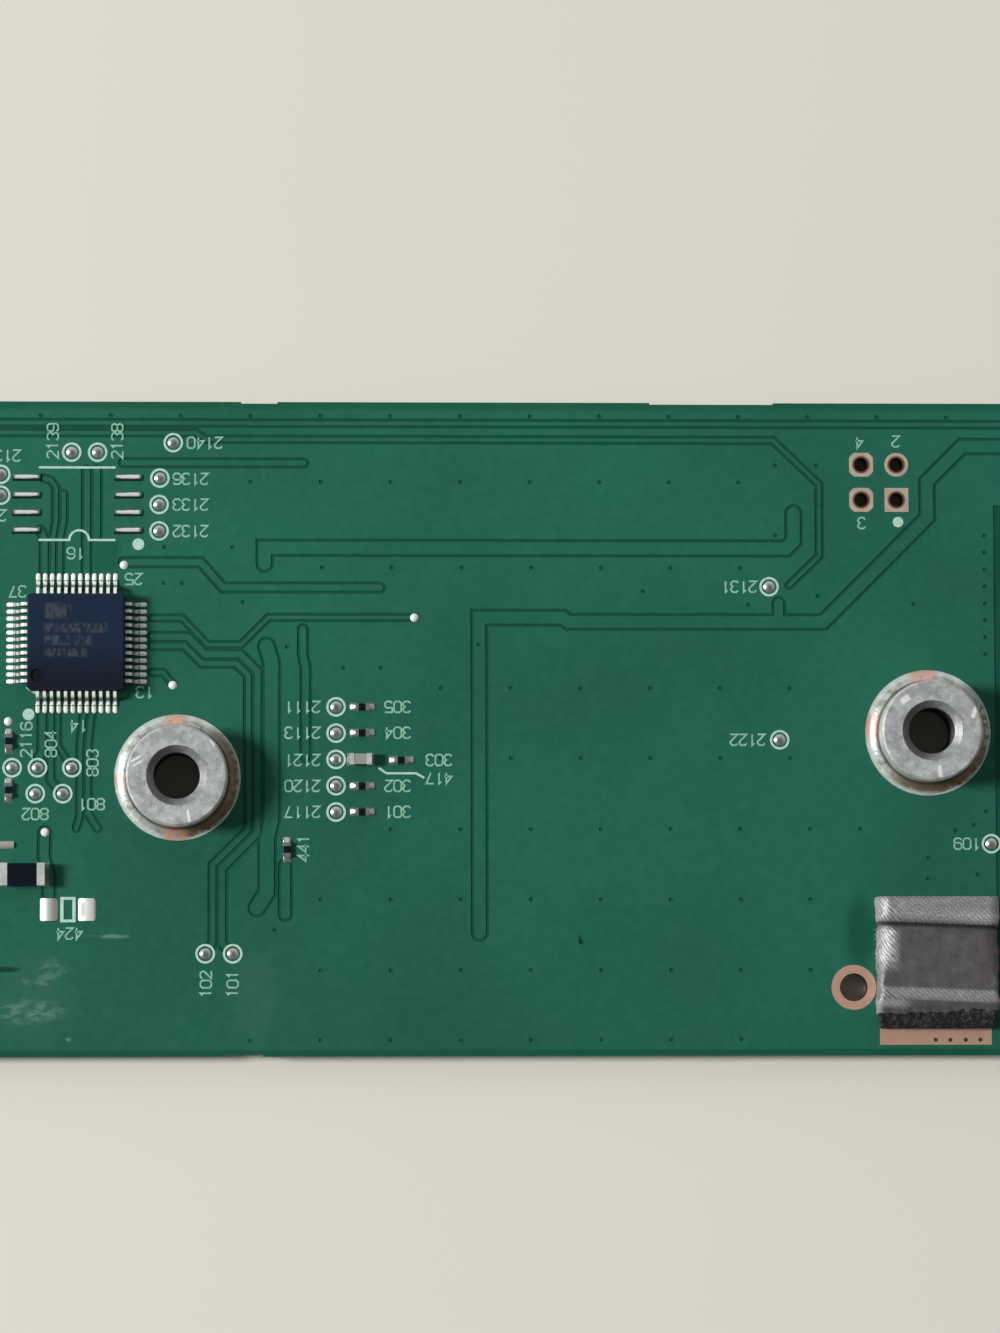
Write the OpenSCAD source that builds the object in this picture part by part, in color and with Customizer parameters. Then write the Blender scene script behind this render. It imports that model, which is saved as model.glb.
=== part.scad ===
// Radio module board: a green board with two soldered standoffs, a 48-lead package,
// small chip parts, open footprints, test points and a fabric-over-foam shielding gasket.
// Millimetres. The board lies in XY, its parts face +Z, and the underside is at Z = 0.

/* [Board] */
// Length of the board along X
board_l = 84; // [80:1:100]
// Width of the board along Y
board_w = 46.8; // [46.4:0.1:60]
// Thickness of the board
board_t = 1.6; // [0.8:0.1:3.2]
// Depth of the gaps beside the traces, and of the pockets that hold the lands
relief = 0.05; // [0.03:0.01:0.1]
// Width of the gap on each side of a trace
gap_w = 0.22; // [0.14:0.01:0.26]
// Diameter of a covered via
via_d = 0.3; // [0.2:0.05:0.4]
// Spacing of the ground vias
stitch_pitch = 5; // [4:0.1:5.2]
// Depth of the shallow bites left in the long edges where the panel was broken out
bite_depth = 0.12; // [0.05:0.01:0.3]

/* [Controller package] */
// Side of the square body
package_side = 7; // [6.5:0.1:7.2]
// Thickness of the body
package_t = 1.4; // [1:0.05:1.8]
// Gap between the body and the board
package_gap = 0.1; // [0.05:0.01:0.2]
// Slope of the body's sides, in degrees
package_draft = 12; // [5:1:15]
// Cut across each corner of the body
package_corner = 0.3; // [0.1:0.05:0.5]
// Diameter of the pin 1 dimple
dimple_d = 0.9; // [0.4:0.1:1.2]
// Depth of the pin 1 dimple
dimple_depth = 0.1; // [0.05:0.01:0.2]
// Leads along each side
leads_a_side = 12; // [8:1:12]
// Spacing of the leads
lead_pitch = 0.5; // [0.45:0.01:0.52]
// Width of a lead
lead_w = 0.22; // [0.17:0.01:0.27]
// Thickness of a lead
lead_t = 0.15; // [0.09:0.01:0.2]
// How far a lead's tip stands out from the body
lead_reach = 1; // [0.9:0.05:1.2]
// How far a lead runs level before it bends down
lead_shoulder = 0.3; // [0.2:0.02:0.36]
// Length of the foot that lies on the land
lead_foot = 0.4; // [0.3:0.02:0.5]
// Inside radius of a lead's bends
lead_bend = 0.08; // [0.05:0.01:0.1]
// Width of a lead's land
lead_land_w = 0.3; // [0.28:0.01:0.36]
// How far a lead's land runs on past the tip
lead_land_over = 0.5; // [0.3:0.05:0.6]

/* [Standoffs] */
// Height of a standoff above the board
standoff_h = 3; // [1.5:0.5:8]
// Diameter of a standoff
standoff_d = 7.2; // [6.4:0.1:7.6]
// Diameter of the threaded hole at the thread's crests
thread_bore_d = 3.3; // [2.5:0.1:3.6]
// Diameter of the countersink at the mouth of the hole
mouth_d = 4.3; // [4:0.1:4.8]
// Bevel round the top face
face_bevel = 0.15; // [0.05:0.05:0.4]
// Diameter of the shank that locates a standoff in the board
shank_d = 5.2; // [5:0.1:5.8]
// Gap between the shank and its hole
shank_clear = 0.1; // [0.05:0.01:0.2]
// How far the shank stops short of the underside
shank_short = 0.1; // [0.05:0.05:0.4]
// Diameter of the land that a standoff is soldered to
standoff_land_d = 9; // [8.4:0.1:9.6]
// Height of the solder against the wall of a standoff
standoff_solder_h = 0.6; // [0.3:0.05:1.2]

/* [Header and tooling hole] */
// Spacing of the four header holes
header_pitch = 2.54; // [2.5:0.01:2.6]
// Diameter of a header hole
header_hole_d = 1; // [0.8:0.05:1.1]
// Width of a header land
header_land_d = 1.72; // [1.5:0.02:1.9]
// Diameter of the tooling hole
tooling_hole_d = 2; // [1.5:0.1:2.4]
// Diameter of the land round the tooling hole
tooling_land_d = 3.2; // [2.8:0.1:3.2]
// Thickness of the plating in a hole
plating_t = 0.05; // [0.03:0.01:0.1]

/* [Shielding gasket] */
// Width of the gasket along X
gasket_w = 8.7; // [7.5:0.1:9]
// Length of the gasket along Y
gasket_l = 9.4; // [9:0.1:10]
// Height of the gasket where it has not been pressed
gasket_h = 3.3; // [2.5:0.1:4.5]
// How far the cover has pressed the top down
dent_depth = 0.7; // [0.3:0.05:1]
// Length of the raised lip at the back
lip_l = 1.7; // [1:0.1:2]
// Length of the pressed stretch
dent_l = 4.4; // [3.5:0.1:4.6]
// Radius of the gasket's upper long edges
gasket_round = 0.9; // [0.5:0.1:1.2]
// Thickness of the metallised fabric
fabric_t = 0.15; // [0.1:0.01:0.25]
// Length of bare foam that sticks out at the front
foam_bare = 1.2; // [0.8:0.1:1.5]
// Thickness of the tape under the gasket
tape_t = 0.1; // [0.05:0.01:0.2]

/* [Open package footprint] */
// Spacing of the lands
open_pitch = 1.27; // [1.2:0.01:1.3]
// Distance between the two rows of lands, middle to middle
open_span = 7.25; // [7:0.05:7.4]
// Length of a land
open_land_l = 2; // [1.6:0.05:2.1]
// Width of a land
open_land_w = 0.55; // [0.4:0.05:0.7]

/* [Chip parts] */
// Length of a small chip
chip_l = 1; // [0.9:0.02:1.1]
// Width of a small chip
chip_w = 0.5; // [0.45:0.01:0.6]
// Height of a small chip
chip_h = 0.35; // [0.3:0.01:0.5]
// Length of the capacitor
capacitor_l = 1.6; // [1.5:0.02:1.7]
// Width of the capacitor
capacitor_w = 0.8; // [0.7:0.02:0.9]
// Height of the capacitor
capacitor_h = 0.8; // [0.6:0.02:0.9]
// Length of the ferrite bead
ferrite_l = 3.2; // [3:0.05:3.4]
// Width of the ferrite bead
ferrite_w = 1.6; // [1.4:0.05:1.7]
// Height of the ferrite bead
ferrite_h = 1.1; // [0.8:0.05:1.3]
// Thickness of the plating on a chip's ends
cap_t = 0.03; // [0.02:0.005:0.05]
// Length of the plating at each end of a small chip
chip_cap_l = 0.25; // [0.15:0.01:0.3]
// Length of the plating at each end of the capacitor
capacitor_cap_l = 0.35; // [0.25:0.01:0.5]
// Length of the plating at each end of the ferrite bead
ferrite_cap_l = 0.55; // [0.4:0.01:0.8]
// Length of solder past each end of a small chip
chip_toe = 0.4; // [0.2:0.05:0.5]
// Length of solder past each end of the capacitor
capacitor_toe = 0.2; // [0.1:0.02:0.24]
// Length of solder past each end of the ferrite bead
ferrite_toe = 0.3; // [0.2:0.05:0.5]
// Height of the solder at the foot of a chip, as a share of the chip's height
chip_solder_rise = 0.6; // [0.3:0.05:0.9]

/* [Test points and legend] */
// Diameter of a test point's solder dome
dome_d = 0.8; // [0.6:0.05:0.9]
// Height of a solder dome above the board
dome_h = 0.14; // [0.08:0.01:0.2]
// Outer diameter of the printed ring round a test point
ring_d = 1.4; // [1.3:0.05:1.6]
// Width of a printed line
ink_w = 0.16; // [0.1:0.01:0.2]
// Thickness of the printed ink
ink_t = 0.03; // [0.02:0.005:0.05]

/* [Hidden] */
$fn = 48;
// Number of small chips
CHIP_COUNT = 8;

// Overshoot of a cutting solid past the face it opens
over = 0.5;
// Flats in the round end of a trace or a printed line
cap_steps = 8;
half_l = board_l / 2;
half_w = board_w / 2;

// Places on the board, from its middle
controller_at = [-30.3, 6.05];
open_package_at = [-30.3, 16.05];
open_chip_at = [-30.85, -12.95];
edge_land_at = [-35.7, -8.35];
header_at = [27.2, 17.7];
tooling_at = [25.15, -18.55];
standoff_left_at = [-23.1, -3.55];
standoff_right_at = [30.6, -0.35];
gasket_back_at = [31, -12.15];
capacitor_at = [-10.05, -2.25];
ferrite_at = [-34.07, -10.45];

// Small chips: x, y and the angle that each is turned by
CHIPS = [
    [-9.94, 1.5, 0],
    [-9.94, -0.35, 0],
    [-7.15, -2.3, 0],
    [-9.94, -4.15, 0],
    [-9.94, -6, 0],
    [-15.3, -8.7, 90],
    [-35.1, -0.95, 90],
    [-35.1, -4.45, 90]
];

// The row of test points beside the chips
test_row_x = -11.8;
test_row_top = 1.5;
test_row_pitch = 1.88;
test_row_count = 5;
TEST_POINTS = concat(
    [for (i = [0 : test_row_count - 1]) [test_row_x, test_row_top - i * test_row_pitch]],
    [[-23.45, 20.45], [-30.7, 19.75], [-28.85, 19.75], [-24.4, 17.9], [-24.45, 16], [-24.45, 14.1]],
    [[-35.75, 18.15], [-35.75, 16.65], [19.25, 10.15], [19.95, -0.85], [35.1, -8.3]],
    [[-21.1, -16.1], [-19.15, -16.1], [-34.85, -2.85], [-33.05, -2.85], [-30.6, -2.85]],
    [[-33.2, -4.7], [-31.25, -4.7]]
);

// Vias left open and filled with solder
VIA_PLUGS = [[-26.95, 11.65], [-6.2, 7.9], [-23.45, 3.05], [-32.5, -7.45], [-35.15, 0.45]];
plug_d = 0.6;

// Ground vias in rows: y, x of the first, and how many
STITCH_ROWS = [
    [half_w - 1, -37.9, 16],
    [17.65, -17.9, 8],
    [11.5, -12.8, 7],
    [2.85, -4.3, 6],
    [-2.15, -4.3, 6],
    [-7.25, -7.9, 7],
    [-12.25, -12.9, 8],
    [-17.3, -12.9, 8],
    [1.15 - half_w, -17.9, 8]
];
// The fence of vias beside the bare band at the right end
fence_x = 34.8;
fence_top = 13.85;
fence_pitch = 1.22;
fence_count = 8;
// Single vias
LONE_VIAS = [
    [-11.25, 4.3], [-8.6, 4.3], [-15.3, 5.8], [-1.6, 5.95], [10.2, 9.8], [17.75, 8.85],
    [22.75, 9.5], [19.75, 13.85], [19.75, 18.9], [22.7, 18.9], [29.65, 8.9], [25.7, -7.25],
    [33.85, -6.95], [34.75, -6], [32.55, -7.35], [30.6, -9.3], [30.55, -10.8], [34.1, -10.5],
    [-24.1, 10.35], [-22.8, 10.35], [-18.45, 9], [-24.05, 12.95], [-19.2, 12.95], [5.7, -15.3]
];
// The band at the right end that is kept free of copper
bare_band_x = 35.45;
bare_band_top = 16.05;
bare_band_bottom = -20.15;

// Traces: width, then the corners of the middle line
TRACES = [
    // Two lines along the top edge
    [0.27, [[-half_l - 1, half_w - 1.53], [half_l + 1, half_w - 1.53]]],
    // Top line that turns down beside the header
    [0.25, [[-half_l - 1, 21.15], [-21.8, 21.15], [-21.1, 20.7], [19.6, 20.7], [22.9, 17.55],
            [22.9, 12.35], [20.7, 10.25]]],
    // Two lines down the inside of the open package's outline, and two bends beside them
    [0.26, [[-32.7, 17.88], [-32.2, 17.75], [-31.8, 17.25], [-31.8, 14.85], [-32, 13.45],
            [-32, 11.15]]],
    [0.3, [[-31.25, 16.75], [-31.25, 14.85], [-31.5, 13.45], [-31.5, 11.15]]],
    [0.42, [[-32.9, 14.15], [-32.6, 13.55], [-32.6, 11.15]]],
    [0.42, [[-29.6, 18.45], [-29.6, 11.15]]],
    [0.46, [[-28.9, 18.45], [-28.9, 13.75]]],
    // Lines from the controller down to the test points under it, and two past them
    [0.42, [[-32.7, 1.05], [-32.7, -1.75], [-33, -2.25]]],
    [0.35, [[-32.1, 1.05], [-32.1, -3.7], [-31.6, -4.35]]],
    [0.21, [[-31.6, 1.05], [-31.6, -1.2], [-30.9, -2.35]]],
    [0.28, [[-29.75, 1.05], [-30, -1.2], [-30, -6.25], [-30.25, -7.15]]],
    [0.32, [[-29.2, 1.05], [-29.45, -1.2], [-29.45, -6.05], [-28.75, -7.15]]],
    // Short line under it
    [0.37, [[-27, 19], [-14.1, 19]]],
    // Wide line across the middle, turned down on the left and up on the right
    [0.88, [[-16.9, 11.75], [-16.9, 12.9], [20.5, 12.9], [21.05, 13.45], [21.05, 15.45]]],
    // Line from the open via above the controller
    [0.44, [[-26.95, 11.85], [-21.45, 11.85], [-19.85, 10.05], [-8.65, 10.05]]],
    // The three lines that leave the controller together
    [0.23, [[-24.9, 7.85], [-22.75, 7.85], [-20.95, 5.95], [-18.55, 5.95], [-16.6, 7.9], [-6.2, 7.9]]],
    [0.42, [[-24.9, 6.5], [-22.35, 6.5], [-21.1, 5.25], [-18.6, 5.25], [-17.4, 4.05], [-17.4, -7.55],
            [-19.9, -10.05], [-19.9, -15.35], [-19.4, -15.85]]],
    [0.34, [[-24.9, 5.85], [-22.6, 5.85], [-21.35, 4.6], [-18.9, 4.6], [-18.05, 3.75], [-18.05, -7.3],
            [-20.55, -9.8], [-20.55, -15.35], [-20.9, -15.7]]],
    // Wide line beside them
    [0.96, [[-16.75, 5.85], [-16.4, 4.7], [-16.4, -6.55], [-16.7, -7.85], [-16.7, -11.75], [-17.4, -12.85]]],
    // Line under the lone chip
    [0.67, [[-15.4, -9.85], [-15.4, -13.3]]],
    // Line between the test row and the wide line
    [0.46, [[-14.15, 7.05], [-14.15, 5.25], [-13.95, 4.25], [-13.95, -2.05]]],
    // Line to the open via under the controller
    [0.25, [[-24.9, 3.95], [-24.1, 3.95], [-23.45, 3.15]]],
    // Line from the open via down to the open chip lands
    [0.64, [[-32.5, -7.45], [-32.55, -9.15], [-32.2, -10.6], [-32.2, -12.25]]],
    // Widest line, from the lower middle up and out to the right end
    [0.84, [[-1.55, -14.65], [-1.55, 7.9], [4.45, 7.9], [4.85, 7.6], [23.15, 7.6], [30.7, 15.15],
            [30.7, 17.75], [33.25, 20.3], [half_l + 1, 20.3]]],
    // Stub that joins it beside a test point
    [0.62, [[19.95, 7.6], [19.95, 8.95]]]
];

// Controller package and its lands
package_half = package_side / 2;
package_base = board_t + package_gap;
package_mid = package_base + package_t / 2;
lead_tip = package_half + lead_reach;
land_heel_over = 0.1;
land_heel = lead_tip - lead_foot - land_heel_over;
land_toe = lead_tip + lead_land_over;

// Plated holes, and the holes that the standoffs' shanks sit in
barrel_header_d = header_hole_d + 2 * plating_t;
barrel_tooling_d = tooling_hole_d + 2 * plating_t;
shank_hole_d = shank_d + 2 * shank_clear;

// Thickness of the solder at the outer edge of a fillet
solder_edge = 0.06;

// Gasket: how far it hangs over its land on each side and starts ahead of it at the back,
// how far the land runs on past its front, and the margin round the tape
gasket_side_over = 0.35;
gasket_back_over = 0.2;
gasket_land_ahead = 1.1;
tape_margin = 0.2;
gasket_base = board_t + tape_t;
gasket_land_w = gasket_w - 2 * gasket_side_over;
gasket_land_l = gasket_l - gasket_back_over + gasket_land_ahead;
gasket_via_x = [0, 1.05, 2.15, 3.2];

// Chips as length, width and height
chip_size = [chip_l, chip_w, chip_h];
capacitor_size = [capacitor_l, capacitor_w, capacitor_h];
ferrite_size = [ferrite_l, ferrite_w, ferrite_h];

// Lands that carry no part
open_chip_span = 2.7;
open_chip_land = [1.25, 1.6];
edge_land = [2, 0.55];

// ---- Flat shapes and outlines ----

// Unit normal on the left of the line from a to b
function left_normal(a, b) = let (d = (b - a) / norm(b - a)) [-d.y, d.x];

// Mitre direction at corner i of a path, one unit from the line on each side
function mitre(path, i) =
    i == 0 ? left_normal(path[0], path[1])
    : i == len(path) - 1 ? left_normal(path[i - 1], path[i])
    : let (m = left_normal(path[i - 1], path[i]), n = left_normal(path[i], path[i + 1]))
      (m + n) / (1 + m * n);

// Outline of a strip that follows a path
function ribbon(path, width) = concat(
    [for (i = [0 : len(path) - 1]) path[i] + width / 2 * mitre(path, i)],
    [for (i = [len(path) - 1 : -1 : 0]) path[i] - width / 2 * mitre(path, i)]
);

// Points of the arc of radius r that rounds the corner b between a and c
function round_corner(a, b, c, r, steps = 3) =
    let (
        u = (a - b) / norm(a - b),
        v = (c - b) / norm(c - b),
        half = acos(u * v) / 2,
        centre = b + (u + v) / norm(u + v) * r / sin(half),
        start = b + u * r / tan(half) - centre,
        turn = (180 - 2 * half) * sign(cross(b - a, c - b)),
        a0 = atan2(start.y, start.x)
    )
    arc(centre, r, a0, a0 + turn, steps);

// Points of an arc about a centre, from angle a0 to angle a1
function arc(centre, r, a0, a1, steps = 4) = [
    for (i = [0 : steps]) let (a = a0 + (a1 - a0) * i / steps) centre + r * [cos(a), sin(a)]
];

// Strip that follows a path and has round ends
module round_strip(path, width) {
    half = width / 2;
    last = len(path) - 1;
    start = left_normal(path[0], path[1]);
    end = left_normal(path[last - 1], path[last]);
    start_a = atan2(start.y, start.x);
    end_a = atan2(end.y, end.x);
    polygon(concat(
        [for (i = [1 : 1 : last - 1]) path[i] + half * mitre(path, i)],
        arc(path[last], half, end_a, end_a - 180, cap_steps),
        [for (i = [last - 1 : -1 : 1]) path[i] - half * mitre(path, i)],
        arc(path[0], half, start_a - 180, start_a - 360, cap_steps)
    ));
}

module ring(outer_d, width) {
    difference() {
        circle(d = outer_d);
        circle(d = outer_d - 2 * width);
    }
}

module bar(l, w) {
    square([l, w], center = true);
}

// Concave solder profile: w long on the board, up to h high at the wall, thin at its outer edge
module fillet_profile(w, h) {
    rise = min(h - solder_edge, w);
    r = (w * w + rise * rise) / (2 * rise);
    difference() {
        square([w, solder_edge + rise]);
        translate([w, solder_edge + r])
            circle(r);
    }
}

// Straight solder fillet along Y, its wall at x = 0
module fillet_bar(w, h, width) {
    translate([0, width / 2, 0])
        rotate([90, 0, 0])
            linear_extrude(width)
                fillet_profile(w, h);
}

// Land with a solder crown, rounded across its width
module crowned_land(l, w, crown) {
    r = (w * w / 4 + crown * crown) / (2 * crown);
    translate([0, 0, -relief])
        linear_extrude(relief)
            bar(l, w);
    intersection() {
        linear_extrude(crown)
            bar(l, w);
        translate([-l / 2, 0, crown - r])
            rotate([0, 90, 0])
                cylinder(r = r, h = l);
    }
}

// Round land with a solder cap
module solder_dome(d, crown) {
    r = (d * d / 4 + crown * crown) / (2 * crown);
    translate([0, 0, -relief])
        cylinder(d = d, h = relief);
    intersection() {
        cylinder(d = d, h = crown);
        translate([0, 0, crown - r])
            sphere(r);
    }
}

// ---- Board ----

// Places its children once for each side of the controller, facing +X
module on_each_side() {
    translate(controller_at)
        for (turn = [0 : 90 : 270])
            rotate(turn)
                children();
}

// Places its children on each lead of one side
module on_each_lead() {
    for (i = [0 : leads_a_side - 1])
        translate([0, (i - (leads_a_side - 1) / 2) * lead_pitch, 0])
            children();
}

module on_open_package() {
    for (side = [-1, 1])
        for (i = [0 : 3])
            translate(open_package_at + [side * open_span / 2, (i - 1.5) * open_pitch])
                children();
}

module on_header() {
    for (x = [-1, 1])
        for (y = [-1, 1])
            translate(header_at + [x, y] * header_pitch / 2)
                children();
}

module on_standoffs() {
    for (at = [standoff_left_at, standoff_right_at])
        translate(at)
            children();
}

module vias() {
    for (row = STITCH_ROWS)
        for (i = [0 : row[2] - 1])
            translate([row[1] + i * stitch_pitch, row[0]])
                circle(d = via_d);
    for (i = [0 : fence_count - 1])
        translate([fence_x, fence_top - i * fence_pitch])
            circle(d = via_d);
    for (at = LONE_VIAS)
        translate(at)
            circle(d = via_d);
}

module trace_gaps() {
    difference() {
        for (t = TRACES)
            round_strip(t[1], t[0] + 2 * gap_w);
        for (t = TRACES)
            round_strip(t[1], t[0]);
    }
}

module bare_band() {
    translate([bare_band_x, bare_band_bottom])
        square([half_l - bare_band_x + over, bare_band_top - bare_band_bottom]);
}

// Every shallow pocket and gap in the top face
module top_relief() {
    trace_gaps();
    vias();
    bare_band();
    on_each_side()
        on_each_lead()
            translate([(land_heel + land_toe) / 2, 0])
                bar(land_toe - land_heel, lead_land_w);
    on_open_package()
        bar(open_land_l, open_land_w);
    open_chip_land_shapes();
    on_standoffs()
        circle(d = standoff_land_d);
    header_land_shapes();
    translate(tooling_at)
        circle(d = tooling_land_d);
    gasket_land_shape();
    for (at = TEST_POINTS)
        translate(at)
            circle(d = dome_d);
    for (at = VIA_PLUGS)
        translate(at)
            circle(d = plug_d);
    chip_land_shapes();
}

module board_outline() {
    difference() {
        bar(board_l, board_w);
        // Shallow bites where the tabs were
        translate([10.7, half_w - bite_depth])
            square([8.9, over]);
        translate([-18.6, half_w - bite_depth])
            square([2.6, over]);
        translate([-20.2, -half_w - over])
            square([3.2, over + bite_depth]);
        // Holes
        on_standoffs()
            circle(d = shank_hole_d);
        on_header()
            circle(d = barrel_header_d);
        translate(tooling_at)
            circle(d = barrel_tooling_d);
    }
}

module board() {
    color("seagreen")
        difference() {
            linear_extrude(board_t)
                board_outline();
            translate([0, 0, board_t - relief])
                linear_extrude(relief + over)
                    top_relief();
            // Pockets for the lands on the underside
            translate([0, 0, -over])
                linear_extrude(relief + over) {
                    header_land_shapes();
                    translate(tooling_at)
                        circle(d = tooling_land_d);
                }
        }
}

// ---- Controller package ----

// Side view of the body: a short upright band at the leads, and sloped sides above and below it
module package_profile() {
    band = lead_t / 2;
    slope = tan(package_draft);
    top = package_half - (package_t / 2 - band) * slope;
    polygon([
        [-top, -package_t / 2],
        [top, -package_t / 2],
        [package_half, -band],
        [package_half, band],
        [top, package_t / 2],
        [-top, package_t / 2],
        [-package_half, band],
        [-package_half, -band]
    ]);
}

module package_slab() {
    translate([0, package_side / 2 + over, 0])
        rotate([90, 0, 0])
            linear_extrude(package_side + 2 * over)
                package_profile();
}

module package_plan() {
    half = package_half;
    cut = package_corner;
    polygon([
        [half - cut, -half], [half, cut - half], [half, half - cut], [half - cut, half],
        [cut - half, half], [-half, half - cut], [-half, cut - half], [cut - half, -half]
    ]);
}

module controller_body() {
    dimple_at = [0.75 - package_half, 1.1 - package_half];
    color("#20243c")
        translate([controller_at.x, controller_at.y, package_mid])
            difference() {
                intersection() {
                    package_slab();
                    rotate(90)
                        package_slab();
                    translate([0, 0, -package_t])
                        linear_extrude(2 * package_t)
                            package_plan();
                }
                translate([dimple_at.x, dimple_at.y, package_t / 2 - dimple_depth])
                    cylinder(d = dimple_d, h = dimple_depth + over);
            }
}

// Side view of one lead: level shoulder, slope, and a foot flat on its land
function lead_outline() =
    let (
        root = [package_half, package_mid],
        knee = [package_half + lead_shoulder, package_mid],
        ankle = [lead_tip - lead_foot, board_t + lead_t / 2],
        tip = [lead_tip, board_t + lead_t / 2],
        r = lead_bend + lead_t / 2
    )
    ribbon(concat([root], round_corner(root, knee, ankle, r), round_corner(knee, ankle, tip, r), [tip]), lead_t);

module controller_leads() {
    color("silver")
        on_each_side()
            on_each_lead()
                translate([0, lead_w / 2, 0])
                    rotate([90, 0, 0])
                        linear_extrude(lead_w)
                            polygon(lead_outline());
}

module controller_lands() {
    color("gainsboro")
        on_each_side()
            on_each_lead()
                translate([(land_heel + land_toe) / 2, 0, board_t - relief])
                    linear_extrude(relief)
                        bar(land_toe - land_heel, lead_land_w);
}

module controller_solder() {
    color("gainsboro")
        on_each_side()
            on_each_lead()
                translate([lead_tip, 0, board_t])
                    fillet_bar(lead_land_over, lead_t, lead_land_w);
}

// ---- Standoffs ----

// Half section of a standoff, with the axis on the left
module standoff_section() {
    bore = thread_bore_d / 2;
    mouth = mouth_d / 2;
    foot = shank_short;
    top = board_t + standoff_h;
    polygon([
        [bore, foot],
        [shank_d / 2, foot],
        [shank_d / 2, board_t],
        [standoff_d / 2, board_t],
        [standoff_d / 2, top - face_bevel],
        [standoff_d / 2 - face_bevel, top],
        [mouth, top],
        [bore, top - (mouth - bore)]
    ]);
}

module standoff() {
    color("lightslategray")
        rotate_extrude()
            standoff_section();
}

module standoff_left() {
    translate(standoff_left_at)
        standoff();
}

module standoff_right() {
    translate(standoff_right_at)
        standoff();
}

// Solder all round the foot of a standoff
module standoff_solder() {
    color("gainsboro")
        translate([0, 0, board_t])
            rotate_extrude()
                translate([standoff_d / 2, 0])
                    fillet_profile((standoff_land_d - standoff_d) / 2, standoff_solder_h);
}

module standoff_solder_left() {
    translate(standoff_left_at)
        standoff_solder();
}

module standoff_solder_right() {
    translate(standoff_right_at)
        standoff_solder();
}

module standoff_lands() {
    color("peru")
        translate([0, 0, board_t - relief])
            linear_extrude(relief)
                on_standoffs()
                    ring(standoff_land_d, (standoff_land_d - shank_hole_d) / 2);
}

// ---- Header and tooling hole ----

// Round lands on three holes, the left two squared off a little, and a square land on pin 1
module header_land_shapes() {
    pin = header_pitch / 2;
    for (y = [-pin, pin])
        translate(header_at + [-pin, y])
            intersection() {
                bar(header_land_d, header_land_d);
                circle(d = header_land_d * 1.15);
            }
    translate(header_at + [pin, pin])
        circle(d = header_land_d);
    translate(header_at + [pin, -pin])
        bar(header_land_d, header_land_d);
}

// Plated holes: children are the tubes' outlines, the lands on each face, and the holes themselves
module barrel() {
    difference() {
        union() {
            linear_extrude(board_t)
                children(0);
            for (z = [0, board_t - relief])
                translate([0, 0, z])
                    linear_extrude(relief)
                        children(1);
        }
        translate([0, 0, -over])
            linear_extrude(board_t + 2 * over)
                children(2);
    }
}

module barrel_header() {
    color("#cd967d")
        barrel() {
            on_header()
                circle(d = barrel_header_d);
            header_land_shapes();
            on_header()
                circle(d = header_hole_d);
        }
}

module barrel_tooling() {
    color("#cd967d")
        translate(tooling_at)
            barrel() {
                circle(d = barrel_tooling_d);
                circle(d = tooling_land_d);
                circle(d = tooling_hole_d);
            }
}

// ---- Open footprints ----

module open_package_lands() {
    crown = 0.12;
    color("gainsboro")
        translate([0, 0, board_t])
            on_open_package()
                crowned_land(open_land_l, open_land_w, crown);
}

module open_chip_land_shapes() {
    for (side = [-1, 1])
        translate(open_chip_at + [side * open_chip_span / 2, 0])
            bar(open_chip_land.x, open_chip_land.y);
    translate(edge_land_at)
        bar(edge_land.x, edge_land.y);
}

module open_chip_lands() {
    crown = 0.16;
    color("gainsboro")
        translate([0, 0, board_t]) {
            for (side = [-1, 1])
                translate(open_chip_at + [side * open_chip_span / 2, 0])
                    rotate(90)
                        crowned_land(open_chip_land.y, open_chip_land.x, crown);
            translate(edge_land_at)
                crowned_land(edge_land.x, edge_land.y, crown);
        }
}

// ---- Shielding gasket ----

module gasket_land_shape() {
    translate(gasket_back_at - [0, gasket_back_over + gasket_land_l / 2])
        bar(gasket_land_w, gasket_land_l);
}

module gasket_land() {
    via_in = 0.35;
    color("#cd967d")
        translate([0, 0, board_t - relief])
            linear_extrude(relief)
                difference() {
                    gasket_land_shape();
                    for (x = gasket_via_x)
                        translate(gasket_back_at + [x, via_in - gasket_back_over - gasket_land_l])
                            circle(d = via_d);
                }
}

module gasket_tape() {
    tape_l = gasket_l - gasket_back_over - 2 * tape_margin;
    color("dimgray")
        translate([0, 0, board_t])
            linear_extrude(tape_t)
                translate(gasket_back_at - [0, gasket_back_over + tape_margin + tape_l / 2])
                    bar(gasket_land_w - 2 * tape_margin, tape_l);
}

// Cross section over the gasket's width: flat below, with round upper edges
module gasket_across(inset) {
    r = gasket_round - inset;
    half = gasket_w / 2 - inset;
    h = gasket_h - inset;
    translate([-half, 0])
        square([2 * half, h - r]);
    translate([r - half, 0])
        square([2 * (half - r), h]);
    for (side = [-1, 1])
        translate([side * (half - r), h - r])
            circle(r);
}

// Side view, from the back at 0 to the front: raised lip, crease, pressed flat, falling front
module gasket_side(inset) {
    h = gasket_h - inset;
    lip_r = 0.45;
    low = h - dent_depth;
    dent_end = lip_l + 0.2 + dent_l;
    edge = gasket_l - foam_bare;
    polygon(concat(
        [[0, 0], [0, h - lip_r]],
        arc([lip_r, h - lip_r], lip_r, 180, 90),
        arc([lip_l - lip_r, h - lip_r], lip_r, 90, 0),
        [[lip_l + 0.05, low - 0.12], [lip_l + 0.35, low]],
        [[dent_end, low], [dent_end + 0.3, low + 0.1], [edge - 0.5, low - 0.35], [edge, low - 0.8]],
        [[gasket_l - 0.25, low * 0.35], [gasket_l, low * 0.15], [gasket_l, 0]]
    ));
}

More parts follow.
